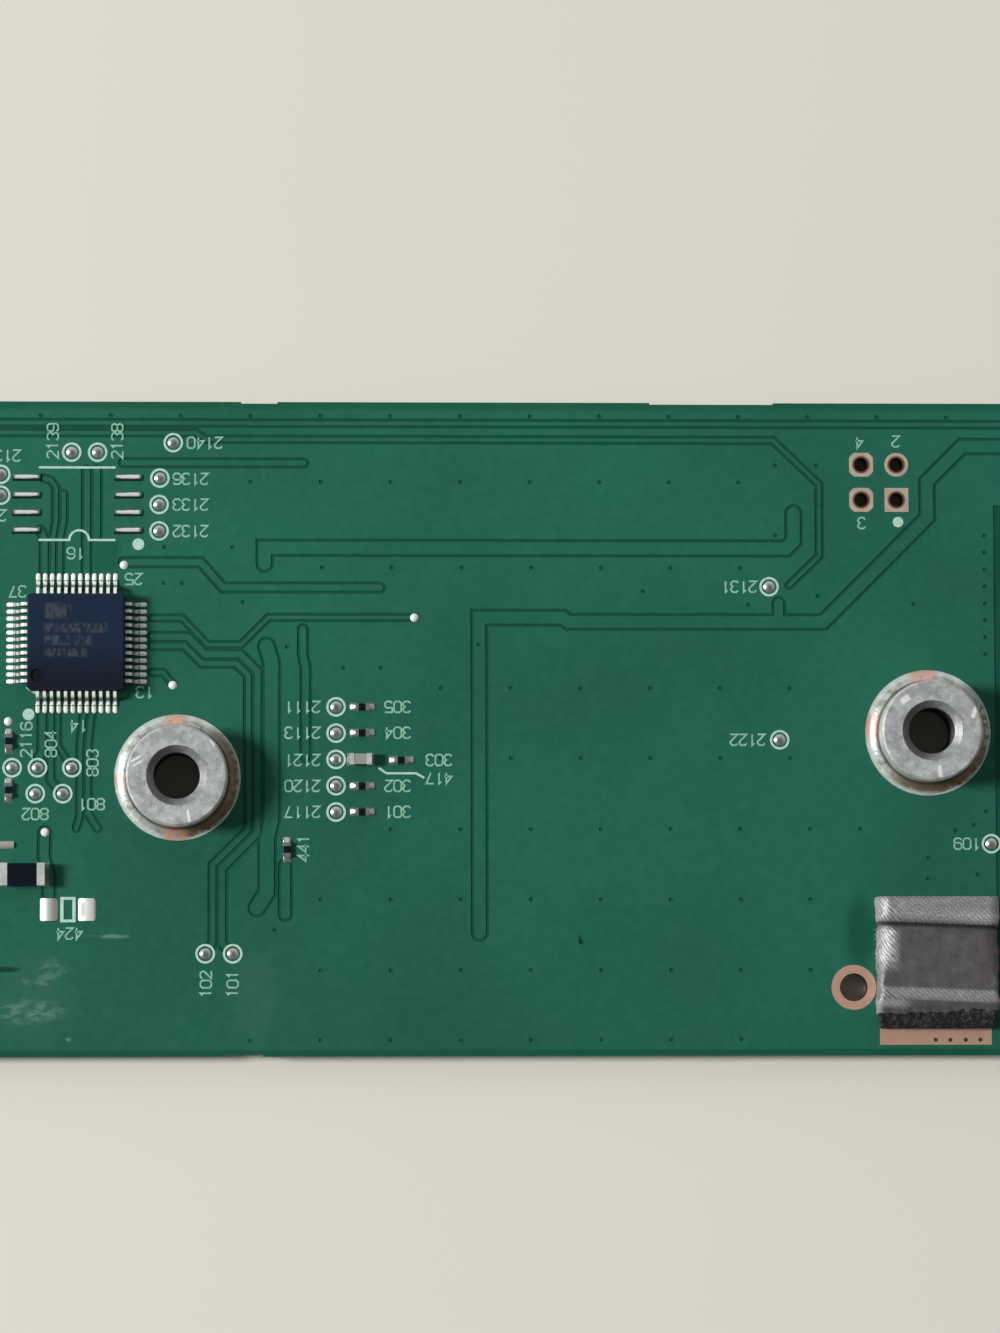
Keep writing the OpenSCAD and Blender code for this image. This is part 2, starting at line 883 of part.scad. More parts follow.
// The gasket's form, worked in by inset on its top and long sides
module gasket_form(inset) {
    long = gasket_l + 2 * over;
    wide = gasket_w + 2 * over;
    translate([gasket_back_at.x, gasket_back_at.y, gasket_base])
        intersection() {
            translate([0, over, 0])
                rotate([90, 0, 0])
                    linear_extrude(long)
                        gasket_across(inset);
            translate([-wide / 2, 0, 0])
                rotate([90, 0, 90])
                    linear_extrude(wide)
                        mirror([1, 0])
                            gasket_side(inset);
        }
}

module gasket_foam() {
    color("#1c1a1f")
        gasket_form(fabric_t);
}

module gasket_fabric() {
    cloth_l = gasket_l - foam_bare;
    color("darkgray")
        difference() {
            intersection() {
                gasket_form(0);
                translate([gasket_back_at.x - gasket_w, gasket_back_at.y - cloth_l, 0])
                    cube([2 * gasket_w, cloth_l, gasket_base + 2 * gasket_h]);
            }
            gasket_form(fabric_t);
        }
}

// ---- Test points and open vias ----

module test_points() {
    color("gainsboro")
        for (at = TEST_POINTS)
            translate([at.x, at.y, board_t])
                solder_dome(dome_d, dome_h);
}

module via_plugs() {
    color("gainsboro")
        for (at = VIA_PLUGS)
            translate([at.x, at.y, board_t])
                solder_dome(plug_d, dome_h);
}

// ---- Chip parts ----

// Ceramic block, held off the board by the plating on its ends
module chip_block(size) {
    translate([cap_t - size.x / 2, cap_t - size.y / 2, board_t + cap_t])
        cube([size.x - 2 * cap_t, size.y - 2 * cap_t, size.z - 2 * cap_t]);
}

// Plated caps over the two ends of a block
module chip_caps(size, cap_l) {
    for (side = [0, 1])
        mirror([side, 0, 0])
            difference() {
                translate([size.x / 2 - cap_l, -size.y / 2, board_t])
                    cube([cap_l, size.y, size.z]);
                chip_block(size);
            }
}

module chip_fillets(size, toe) {
    for (side = [0, 1])
        mirror([side, 0, 0])
            translate([size.x / 2, 0, board_t])
                fillet_bar(toe, size.z * chip_solder_rise, size.y);
}

module chip_land_pair(size, cap_l, toe) {
    side_margin = 0.05;
    for (side = [-1, 1])
        translate([side * (size.x / 2 + (toe - cap_l) / 2), 0])
            bar(toe + cap_l, size.y + 2 * side_margin);
}

module at_chip(i) {
    translate([CHIPS[i].x, CHIPS[i].y, 0])
        rotate(CHIPS[i].z)
            children();
}

module chip_land_shapes() {
    for (i = [0 : CHIP_COUNT - 1])
        at_chip(i)
            chip_land_pair(chip_size, chip_cap_l, chip_toe);
    translate(capacitor_at)
        chip_land_pair(capacitor_size, capacitor_cap_l, capacitor_toe);
    translate(ferrite_at)
        chip_land_pair(ferrite_size, ferrite_cap_l, ferrite_toe);
}

module chip_lands() {
    color("gainsboro")
        translate([0, 0, board_t - relief])
            linear_extrude(relief)
                chip_land_shapes();
}

module chip_solder() {
    color("gainsboro") {
        for (i = [0 : CHIP_COUNT - 1])
            at_chip(i)
                chip_fillets(chip_size, chip_toe);
        translate(capacitor_at)
            chip_fillets(capacitor_size, capacitor_toe);
        translate(ferrite_at)
            chip_fillets(ferrite_size, ferrite_toe);
    }
}

module chip_body(i) {
    color("#221b26")
        at_chip(i)
            chip_block(chip_size);
}

module chip_ends(i) {
    color("silver")
        at_chip(i)
            chip_caps(chip_size, chip_cap_l);
}

module capacitor_body() {
    color("rosybrown")
        translate(capacitor_at)
            chip_block(capacitor_size);
}

module capacitor_ends() {
    color("silver")
        translate(capacitor_at)
            chip_caps(capacitor_size, capacitor_cap_l);
}

module ferrite_body() {
    color("#2a1c2c")
        translate(ferrite_at)
            chip_block(ferrite_size);
}

module ferrite_ends() {
    color("silver")
        translate(ferrite_at)
            chip_caps(ferrite_size, ferrite_cap_l);
}

// ---- Printed legend ----

module legend_rings() {
    color("honeydew")
        translate([0, 0, board_t])
            linear_extrude(ink_t)
                for (at = TEST_POINTS)
                    translate(at)
                        ring(ring_d, ink_w);
}

// Outline of the open package: a line over it, and a line under it with a half-round notch
module package_legend() {
    half = open_span / 2 - open_land_l / 2 + 0.05;
    reach = 1.5 * open_pitch + 0.7;
    notch = 0.7;
    notch_at = 0.15;
    round_strip([[-half, reach], [half, reach]], ink_w);
    round_strip(concat(
        [[-half, -reach]],
        arc([notch_at, -reach], notch, 180, 0, 12),
        [[half, -reach]]
    ), ink_w);
}

module legend_marks() {
    dot_d = 0.84;
    color("honeydew")
        translate([0, 0, board_t])
            linear_extrude(ink_t) {
                translate(open_package_at)
                    package_legend();
                translate(open_package_at + [open_span / 2 + 0.75, -1.5 * open_pitch - 1])
                    circle(d = dot_d);
                // Pin 1 of the controller: a dot and a short stroke
                translate(controller_at + [-3.4, -5.1])
                    circle(d = dot_d);
                translate(controller_at)
                    round_strip([[-3.5, -3.2], [-2.95, -3.55]], ink_w);
                // Pin 1 of the header
                translate(header_at + [header_pitch / 2 + 0.1, -header_pitch / 2 - 1.6])
                    circle(d = dot_d * 0.9);
                // Box between the open chip lands
                translate(open_chip_at)
                    difference() {
                        bar(1.1, 1.8);
                        bar(0.62, 1.4);
                    }
                // Leader from the capacitor to its number
                round_strip([[-8.7, -2.9], [-8.2, -3.25], [-6.1, -3.25], [-5.55, -3.55]], ink_w);
            }
}

// ---- Nodes ----

board();
controller_body();
controller_leads();
controller_lands();
controller_solder();
standoff_left();
standoff_right();
standoff_solder_left();
standoff_solder_right();
standoff_lands();
barrel_header();
barrel_tooling();
open_package_lands();
open_chip_lands();
gasket_land();
gasket_tape();
gasket_foam();
gasket_fabric();
test_points();
via_plugs();
capacitor_body();
capacitor_ends();
ferrite_body();
ferrite_ends();
chip_lands();
chip_solder();
for (i = [1 : CHIP_COUNT]) {
    chip_body(i - 1);
    chip_ends(i - 1);
}
legend_rings();
legend_marks();
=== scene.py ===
import math

import bpy
import numpy as np
from bpy.props import FloatProperty, FloatVectorProperty, IntProperty, PointerProperty
from mathutils import Matrix, Vector


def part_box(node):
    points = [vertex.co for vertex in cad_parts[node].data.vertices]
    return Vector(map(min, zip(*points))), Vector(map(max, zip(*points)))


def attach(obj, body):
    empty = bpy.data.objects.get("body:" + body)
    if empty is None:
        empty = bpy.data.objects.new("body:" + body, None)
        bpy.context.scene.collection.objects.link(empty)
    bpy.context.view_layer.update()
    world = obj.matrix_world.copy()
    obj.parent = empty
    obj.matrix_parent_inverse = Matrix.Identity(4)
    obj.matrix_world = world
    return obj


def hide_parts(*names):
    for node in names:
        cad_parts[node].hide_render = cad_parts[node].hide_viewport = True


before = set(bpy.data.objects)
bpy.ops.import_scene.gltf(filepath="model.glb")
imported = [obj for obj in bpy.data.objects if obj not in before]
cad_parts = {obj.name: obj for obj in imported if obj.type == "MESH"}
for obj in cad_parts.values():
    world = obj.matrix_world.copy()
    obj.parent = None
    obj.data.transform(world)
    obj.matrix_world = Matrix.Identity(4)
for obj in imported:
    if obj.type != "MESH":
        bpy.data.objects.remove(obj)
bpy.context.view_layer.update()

bl_info = {
    "name": "Radio Module Board",
    "version": (1, 0, 0),
    "blender": (4, 5, 0),
    "location": "View3D > Sidebar > Board",
    "description": "Finishes a packed circuit board: mask, metal, print, solder and gasket",
    "category": "Object",
}

MM = 0.001
BOARD_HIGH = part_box("board")[1]
BOARD_TOP = BOARD_HIGH.z
HALF_LENGTH, HALF_WIDTH, THICKNESS = (value / MM for value in BOARD_HIGH)
SEED = 7


def linear(code):
    """Linear colour of a six-digit sRGB code: c / 12.92 below 0.04045, else ((c + 0.055) / 1.055) ** 2.4."""
    c = np.array([int(code[i : i + 2], 16) for i in (0, 2, 4)]) / 255
    return tuple(np.where(c <= 0.04045, c / 12.92, ((c + 0.055) / 1.055) ** 2.4))


def times(tone, factor):
    """A colour made darker or lighter."""
    return [c * factor for c in tone]


def colour(name, description, code):
    """A colour property whose default is a six-digit sRGB code."""
    return FloatVectorProperty(
        name=name, description=description, subtype="COLOR", size=3, min=0, max=1, default=linear(code)
    )


def millimetres(name, description, value):
    """A length property whose default is given in millimetres."""
    return FloatProperty(
        name=name, description=description, default=value * MM, min=0, unit="LENGTH", precision=5
    )


def point(name, description, x, y, z):
    """A place property whose default is given in millimetres."""
    return FloatVectorProperty(
        name=name, description=description, subtype="XYZ", unit="LENGTH", default=(x * MM, y * MM, z * MM)
    )


# ---- sizes and colours


class MaskFinish(bpy.types.PropertyGroup):
    mask: colour("Mask", "Solder mask over copper", "215F4D")
    bare: colour("No copper", "Solder mask where no copper lies under it", "124F3E")
    core: colour("Core", "Cut edge of the glass laminate", "6E7350")
    stain: colour("Flux stain", "Dried flux on the mask", "5C8272")
    gloss: FloatProperty(
        name="Roughness", description="Roughness of the mask", default=0.42, min=0, max=1, subtype="FACTOR"
    )


class MetalFinish(bpy.types.PropertyGroup):
    # The tin and solder colours lean to mint: a painted reflection of the green mask
    tin: colour("Tin", "Bright tin on chip ends", "E2E8E3")
    bright: colour("Wetted tin", "Freshly wetted leads and toes", "F0F3EC")
    solder: colour("Solder", "Reflowed solder", "DEE6E0")
    steel: colour("Standoff", "Tin-plated steel", "C2C6C4")
    worn: colour("Worn steel", "Rubbed patches of a standoff's face", "DADEDB")
    copper: colour("Copper", "Bare copper under a clear preservative", "DDB098")
    rim: colour("Tinned rim", "Thin tin at the rims of the header's lands", "C9C6B2")
    blush: colour("Copper blush", "Copper that shows through thin solder", "D9A58F")
    flux: colour("Burnt flux", "Brown flux left at the foot of a standoff", "6A5636")


class PartFinish(bpy.types.PropertyGroup):
    epoxy: colour("Package", "Moulded epoxy of the package", "0D2036")
    marking: colour("Marking", "Faint marked bars on the package", "42464E")
    dark: colour("Chip", "Dark ceramic", "060F18")
    pale: colour("Capacitor", "Pale ceramic", "8A8A82")


class PrintFinish(bpy.types.PropertyGroup):
    ink: colour("Ink", "Printed legend", "AFD3C2")
    faint: colour("Faint ink", "Thinner ink of the small figures", "8CC0A9")
    height: millimetres("Figure height", "Height of a printed figure", 0.78)
    stroke: millimetres("Stroke", "Width of a printed stroke", 0.115)
    thickness: millimetres("Thickness", "Thickness of the ink", 0.02)


class GasketFinish(bpy.types.PropertyGroup):
    fabric: colour("Fabric", "Metallised thread in the light", "C6C4C3")
    rubbed: colour("Pressed fabric", "Fabric pressed flat by the cover", "5B585A")
    foam: colour("Foam", "Open-cell foam", "1C1A1E")
    pitch: millimetres("Weave pitch", "Distance between the ridges of the weave", 0.24)
    depth: millimetres("Weave depth", "Height of the ridges of the weave", 0.03)
    thickness: millimetres("Thickness", "Thickness of the fabric", 0.15)
    frays: IntProperty(name="Frays", description="Loose thread ends", default=60, min=0)


class StageFinish(bpy.types.PropertyGroup):
    floor: colour("Floor", "Plain pale floor", "D9D7CB")
    eye: point("Eye", "Place of the camera", -15, -24.95, 391.6)
    aim: point("Aim", "Point in the middle of the view", -0.08, 4.4, THICKNESS)
    view_height: millimetres("View height", "Height that the view takes in at the aim", 95.35)
    roll: FloatProperty(
        name="Roll", description="Turn of the camera about its view", default=0.0022, subtype="ANGLE"
    )
    key: FloatProperty(name="Key light", description="The key's light on a level white surface", default=0.72)
    fill: FloatProperty(name="Fill light", description="Light from all round", default=0.30)


# ---- shaders


def arithmetic(operation, reflected=False):
    """A method that adds one Math node; reflected swaps its operands."""

    def method(self, other):
        return self.shader.math(operation, other, self) if reflected else self.math(operation, other)

    return method


class Value:
    """A shader socket. Arithmetic on it adds Math nodes."""

    __add__ = __radd__ = arithmetic("ADD")
    __mul__ = __rmul__ = arithmetic("MULTIPLY")
    __sub__ = arithmetic("SUBTRACT")
    __rsub__ = arithmetic("SUBTRACT", reflected=True)
    __truediv__ = arithmetic("DIVIDE")
    __pow__ = arithmetic("POWER")
    most = arithmetic("MAXIMUM")

    def __init__(self, shader, socket):
        self.shader = shader
        self.socket = socket

    def __abs__(self):
        return self.math("ABSOLUTE")

    def math(self, operation, *others):
        return self.shader.math(operation, self, *others)

    def sine(self):
        return self.math("SINE")

    def rise(self, low, high):
        """0 below low, 1 above high and a smooth step between them; it falls where low is above high."""
        step = {"interpolation_type": "SMOOTHSTEP"}
        ends = float(low > high), float(low < high)
        return self.shader.value("ShaderNodeMapRange", step, self, min(low, high), max(low, high), *ends)

    def band(self, start, full, fade, end):
        """0 outside start and end, and 1 from full to fade."""
        return self.rise(start, full) * self.rise(end, fade)


class Shader:
    """A material with one Principled surface. One method adds every other node."""

    def __init__(self, name, **surface):
        self.material = bpy.data.materials.new(name)
        self.material.use_nodes = True
        self.tree = self.material.node_tree
        self.surface = self.tree.nodes["Principled BSDF"]
        self.paint(**surface)
        self.object_place = self.node("ShaderNodeTexCoord").outputs["Object"]

    def node(self, kind, settings=None, *values, **named):
        """Adds a node: its settings first, then its sockets in order or by name."""
        node = self.tree.nodes.new(kind)
        for key, value in (settings or {}).items():
            setattr(node, key, value)
        for key, value in [*enumerate(values), *named.items()]:
            self.feed(node.inputs[key], value)
        return node

    def feed(self, socket, value):
        if isinstance(value, Value):
            value = value.socket
        if isinstance(value, bpy.types.NodeSocket):
            self.tree.links.new(value, socket)
        elif socket.type == "RGBA" and len(value) == 3:
            socket.default_value = (*value, 1.0)
        else:
            socket.default_value = value

    def value(self, kind, settings=None, *values, **named):
        return Value(self, self.node(kind, settings, *values, **named).outputs[0])

    def math(self, operation, *values):
        return self.value("ShaderNodeMath", {"operation": operation}, *values)

    def vector(self, operation, *values, **named):
        return self.node("ShaderNodeVectorMath", {"operation": operation}, *values, **named).outputs[0]

    def place(self, x=0.0, y=0.0, z=0.0):
        """Object position in millimetres from a point that is given in metres."""
        return self.vector("SCALE", self.vector("SUBTRACT", self.object_place, (x, y, z)), Scale=1 / MM)

    def parts(self, vector):
        """The three numbers of a vector."""
        return [Value(self, socket) for socket in self.node("ShaderNodeSeparateXYZ", None, vector).outputs]

    def stretched(self, vector, sizes):
        return self.vector("MULTIPLY", vector, sizes)

    def shade(self, tone, factor):
        """A colour times a number."""
        return self.vector("SCALE", tone, Scale=factor)

    def noise(self, vector, scale, detail=2.0, roughness=0.5):
        named = {"Vector": vector, "Scale": scale, "Detail": detail, "Roughness": roughness}
        return self.value("ShaderNodeTexNoise", None, **named)

    def mix(self, factor, first, second):
        """Colour mix: first where the factor is 0, second where it is 1."""
        node = self.node("ShaderNodeMix", {"data_type": "RGBA"}, factor)
        self.feed(node.inputs[6], first)
        self.feed(node.inputs[7], second)
        return node.outputs[2]

    def tone(self, factor, tone, low, high=1.0):
        """A colour that goes from one share of itself to another."""
        return self.mix(factor, times(tone, low), times(tone, high))

    def paint(self, **values):
        """Sets sockets of the surface; an underscore in a name stands for a space."""
        for key, value in values.items():
            self.feed(self.surface.inputs[key.replace("_", " ")], value)

    def emboss(self, height, depth, strength=1.0, **under):
        """Bump: a height from 0 to 1 stands for a relief of so many millimetres."""
        named = {"Strength": strength, "Distance": depth * MM, "Height": height, **under}
        bump = self.node("ShaderNodeBump", None, **named).outputs[0]
        self.paint(Normal=bump)
        return bump

    def spot(self, x, y, rx, ry, soft=0.3):
        """1 inside an ellipse on the board, in millimetres, and 0 outside it."""
        px, py, _ = self.parts(self.place(x * MM, y * MM))
        return distance(px / rx, py / ry).rise(1 + soft, 1 - soft)

    def field(self, px, py, x0, x1, y0, y1, soft=0.1):
        """1 inside a rectangle on the board, in millimetres, and 0 outside it."""
        across = abs(px - (x0 + x1) / 2).rise((x1 - x0) / 2 + soft, (x1 - x0) / 2 - soft)
        along = abs(py - (y0 + y1) / 2).rise((y1 - y0) / 2 + soft, (y1 - y0) / 2 - soft)
        return across * along


class Room(Shader):
    """The world's light, by the heading that it comes from."""

    def __init__(self, name, **surface):
        self.world = bpy.data.worlds.new(name)
        self.world.use_nodes = True
        self.tree = self.world.node_tree
        self.surface = self.tree.nodes["Background"]
        self.paint(**surface)
        self.heading = self.node("ShaderNodeTexCoord").outputs["Generated"]


def distance(x, y):
    """Distance of (x, y) from the middle."""
    return (x * x + y * y) ** 0.5


def middle_of(name):
    low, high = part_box(name)
    return (low + high) / 2


# ---- meshes


def link(thing):
    bpy.context.scene.collection.objects.link(thing)


def dress(material, *nodes):
    """Gives CAD nodes a material."""
    for name in nodes:
        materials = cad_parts[name].data.materials
        materials.clear()
        materials.append(material)


def add_piece(name, points, faces, material, slot, smooth=True):
    """Makes one piece from its points in metres and its faces, and lets it ride with the board."""
    mesh = bpy.data.meshes.new(name)
    mesh.from_pydata(np.asarray(points, float).reshape(-1, 3), [], faces)
    mesh.materials.append(material)
    mesh.polygons.foreach_set("use_smooth", np.full(len(mesh.polygons), smooth))
    mesh.update()
    piece = bpy.data.objects.new(name, mesh)
    link(piece)
    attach(piece, "root")
    return piece


def grid_faces(rows, columns, closed=False):
    """Quads of a grid; closed joins the last column to the first. Normals follow row x column."""
    i, j = np.meshgrid(np.arange(rows - 1), np.arange(columns if closed else columns - 1), indexing="ij")
    right = (j + 1) % columns
    corners = [i * columns + j, (i + 1) * columns + j, (i + 1) * columns + right, i * columns + right]
    return np.stack(corners, -1).reshape(-1, 4)


def merged(parts):
    """Joins (points, faces) pairs into one list of points and one of faces."""
    points, faces, base = [], [], 0
    for part_points, part_faces in parts:
        part_points = np.asarray(part_points, float).reshape(-1, 3)
        points.append(part_points)
        faces.extend((np.asarray(face) + base).tolist() for face in part_faces)
        base += len(part_points)
    return np.concatenate(points), faces


def mound(start, along, length, width, height, lean):
    """Solder mound on a land. u runs from the wall outwards and v across: the height is a concave fall
    (1 - u) ** 1.6 with a low rim, times a round crown (1 - v ** 4) ** 0.5, and the outline narrows at the far
    end. The same grid laid flat closes it underneath, and the step between the two closes it at the wall."""
    steps = 9
    u = np.linspace(0, 1, steps)[:, None]
    v = np.linspace(-1, 1, steps)[None, :]
    end = np.sqrt(np.clip(1 - np.clip((u - 0.72) / 0.28, 0, 1) ** 2, 0, 1))
    crown = np.sqrt(1 - v**4)
    rise = (0.30 * np.sqrt(1 - u**3) + 0.70 * (1 - u) ** 1.6) * crown * (1 + lean * v)
    side = v * (0.35 + 0.65 * end) * width / 2
    across = np.array([-along[1], along[0]])
    flat = np.array(start[:2]) + (u * length)[..., None] * along + side[..., None] * across
    top = np.concatenate([flat, (BOARD_TOP + rise * height)[..., None]], -1)
    under = np.concatenate([flat, np.full_like(rise, BOARD_TOP)[..., None]], -1)
    return np.concatenate([under[::-1], top]), grid_faces(2 * steps, steps)


# ---- board and lands

# Dried flux: x, y, the two radii and the strength
STAINS = [
    (-31.9, -17.1, 1.0, 0.6, 0.55), (-32.9, -17.95, 1.1, 0.4, 0.6), (-33.7, -20.2, 2.3, 0.75, 0.75),
    (-30.8, -22.1, 0.2, 0.2, 1.0), (-27.8, -14.85, 1.4, 0.14, 0.9),
]
# Broad faint haze: x, y, the two radii and the strength
HAZES = [(-17.6, -19.3, 1.5, 3.0, 0.1), (-33.5, -19.2, 2.6, 2.6, 0.08)]
# Dark scratches: x, y and the two radii
SCRATCHES = [(5.6, -15.15, 0.13, 0.3), (-35.3, -17.2, 1.0, 0.2), (-16.2, -14.4, 0.12, 0.12)]


class BOARD_OT_mask(bpy.types.Operator):
    """Solder mask of the board: darker in the relief of the traces and where no copper lies under it, with
    painted shade in the grooves and beside the open package
    """

    bl_idname = "board.mask"
    bl_label = "Solder mask"

    def execute(self, context):
        look = context.scene.board_mask
        shader = Shader("solder_mask", IOR=1.42, Specular_IOR_Level=0.22)
        place = shader.place()
        x, y, z = shader.parts(place)
        cloud = shader.noise(place, 0.06).rise(0.3, 0.7)
        speckle = shader.noise(place, 1.6, 3.0, 0.6).rise(0.35, 0.7)
        base = shader.tone(cloud, look.mask, 0.9, 1.07)
        plain = shader.shade(base, (0.96 + 0.07 * speckle) * (1 + 0.0028 * y))
        base = shader.mix(self.bare(shader, x, y), plain, look.bare)
        # The grooves between traces take the copper-free tone, a tenth darker as painted shade in the recess
        groove = z.band(0.06, 0.08, THICKNESS - 0.04, THICKNESS - 0.02)
        base = shader.mix(groove, base, times(look.bare, 0.9))
        smear = shader.noise(shader.stretched(place, (0.7, 1.5, 1)), 1.7, 4.0, 0.65).rise(0.4, 0.62)
        for *stain, strength in STAINS:
            base = shader.mix(shader.spot(*stain, soft=0.5) * smear * strength, base, look.stain)
        for *haze, strength in HAZES:
            base = shader.mix(shader.spot(*haze, soft=0.6) * strength, base, look.stain)
        for scratch in SCRATCHES:
            base = shader.mix(shader.spot(*scratch, soft=0.5) * 0.8, base, times(look.bare, 0.3))
        # The underside is plain
        base = shader.mix(z.rise(0.7, 0.9), plain, base)
        edge, core = self.core(shader, look, place)
        shader.paint(Base_Color=shader.mix(edge, base, core), Roughness=look.gloss + 0.12 * speckle)
        shader.emboss(shader.noise(place, 9.0), 0.006, 0.5)
        dress(shader.material, "board")
        return {"FINISHED"}

    def bare(self, shader, x, y):
        """Darker mask: no copper under it at the right end and bottom edge; fainter along the top edge; a
        soft patch left of the gasket; painted shade by the open package.
        """
        bare = shader.field(x, y, 35.45, HALF_LENGTH + 1, -20.15, 16.05)
        bare = bare.most(y.rise(0.52 - HALF_WIDTH, 0.4 - HALF_WIDTH))
        bare = bare.most(y.rise(HALF_WIDTH - 0.8, HALF_WIDTH - 0.3) * 0.6)
        # Painted shade beside the open package
        bare = bare.most(shader.field(x, y, -29.1, -27.3, 11.1, 13.4, soft=0.3) * 0.6)
        return bare.most(shader.spot(25.7, -14.6, 1.1, 2.4, soft=0.45))

    def core(self, shader, look, place):
        """The cut laminate: where it shows at the outer edge, between the skins of mask, and its colour."""
        x, y, z = shader.parts(place)
        normal = shader.node("ShaderNodeNewGeometry").outputs["Normal"]
        upright = abs(shader.parts(normal)[2]).rise(0.6, 0.4)
        ends = abs(x).rise(HALF_LENGTH - 0.06, HALF_LENGTH - 0.02)
        outer = ends.most(abs(y).rise(HALF_WIDTH - 0.2, HALF_WIDTH - 0.16))
        skin = abs(z - THICKNESS / 2).rise(THICKNESS / 2 - 0.09, THICKNESS / 2 - 0.04)
        layers = shader.noise(shader.stretched(place, (0.6, 0.6, 9)), 2.0, 3.0)
        return upright * outer * (1 - skin), shader.tone(layers, look.core, 1, 0.55)


class BOARD_OT_copper(bpy.types.Operator):
    """Bare copper: the plated holes, with painted shade down their walls, and the lands of the gasket and the
    standoffs
    """

    bl_idname = "board.copper"
    bl_label = "Copper"

    def execute(self, context):
        look = context.scene.board_metal
        shader = Shader("bare_copper", Metallic=0.55, IOR=1.5)
        place = shader.place()
        cloud = shader.noise(place, 1.1, 4.0, 0.6).rise(0.3, 0.75)
        depth = shader.parts(place)[2].rise(THICKNESS - 0.02, THICKNESS - 0.3)
        base = shader.tone(cloud, look.copper, 1, 0.72)
        # On the header: a pale rim round each land and a brown rim round each hole
        half_pitch = 1.27
        x, y, _ = shader.parts(shader.place(*middle_of("barrel_header")[:2]))
        x, y = abs(x) - half_pitch, abs(y) - half_pitch
        radius = distance(x, y)
        near = x.rise(1.2, 1.1) * y.rise(1.2, 1.1)
        base = shader.mix(near * radius.rise(0.62, 0.74) * (0.5 + 0.4 * cloud), base, look.rim)
        base = shader.mix(near * radius.rise(0.68, 0.56) * 0.9, base, times(look.flux, 0.6))
        # Painted shade on the walls of the holes: dark brown in the header, copper at a tenth elsewhere
        wall = shader.mix(near, times(look.copper, 0.1), (0.075, 0.03, 0.022))
        shader.paint(Base_Color=shader.mix(depth, base, wall), Roughness=0.42 + 0.18 * cloud)
        shader.emboss(shader.noise(place, 7.0, 3.0), 0.01, 0.6)
        dress(shader.material, "barrel_header", "barrel_tooling", "gasket_land", "standoff_lands")
        return {"FINISHED"}


def bright_metal(name, tone, roughness, patch_scale, metallic):
    """Bright metal: its roughness and tone vary in soft patches, over a faint dimpled relief."""
    shader = Shader(name, Metallic=metallic)
    place = shader.place()
    patch = shader.noise(place, patch_scale, 3.0, 0.6)
    base = shader.tone(patch.rise(0.3, 0.7), tone, 0.82)
    shader.paint(Base_Color=base, Roughness=roughness + 0.2 * patch)
    shader.emboss(shader.noise(place, patch_scale * 4), 0.012, 0.6)
    return shader


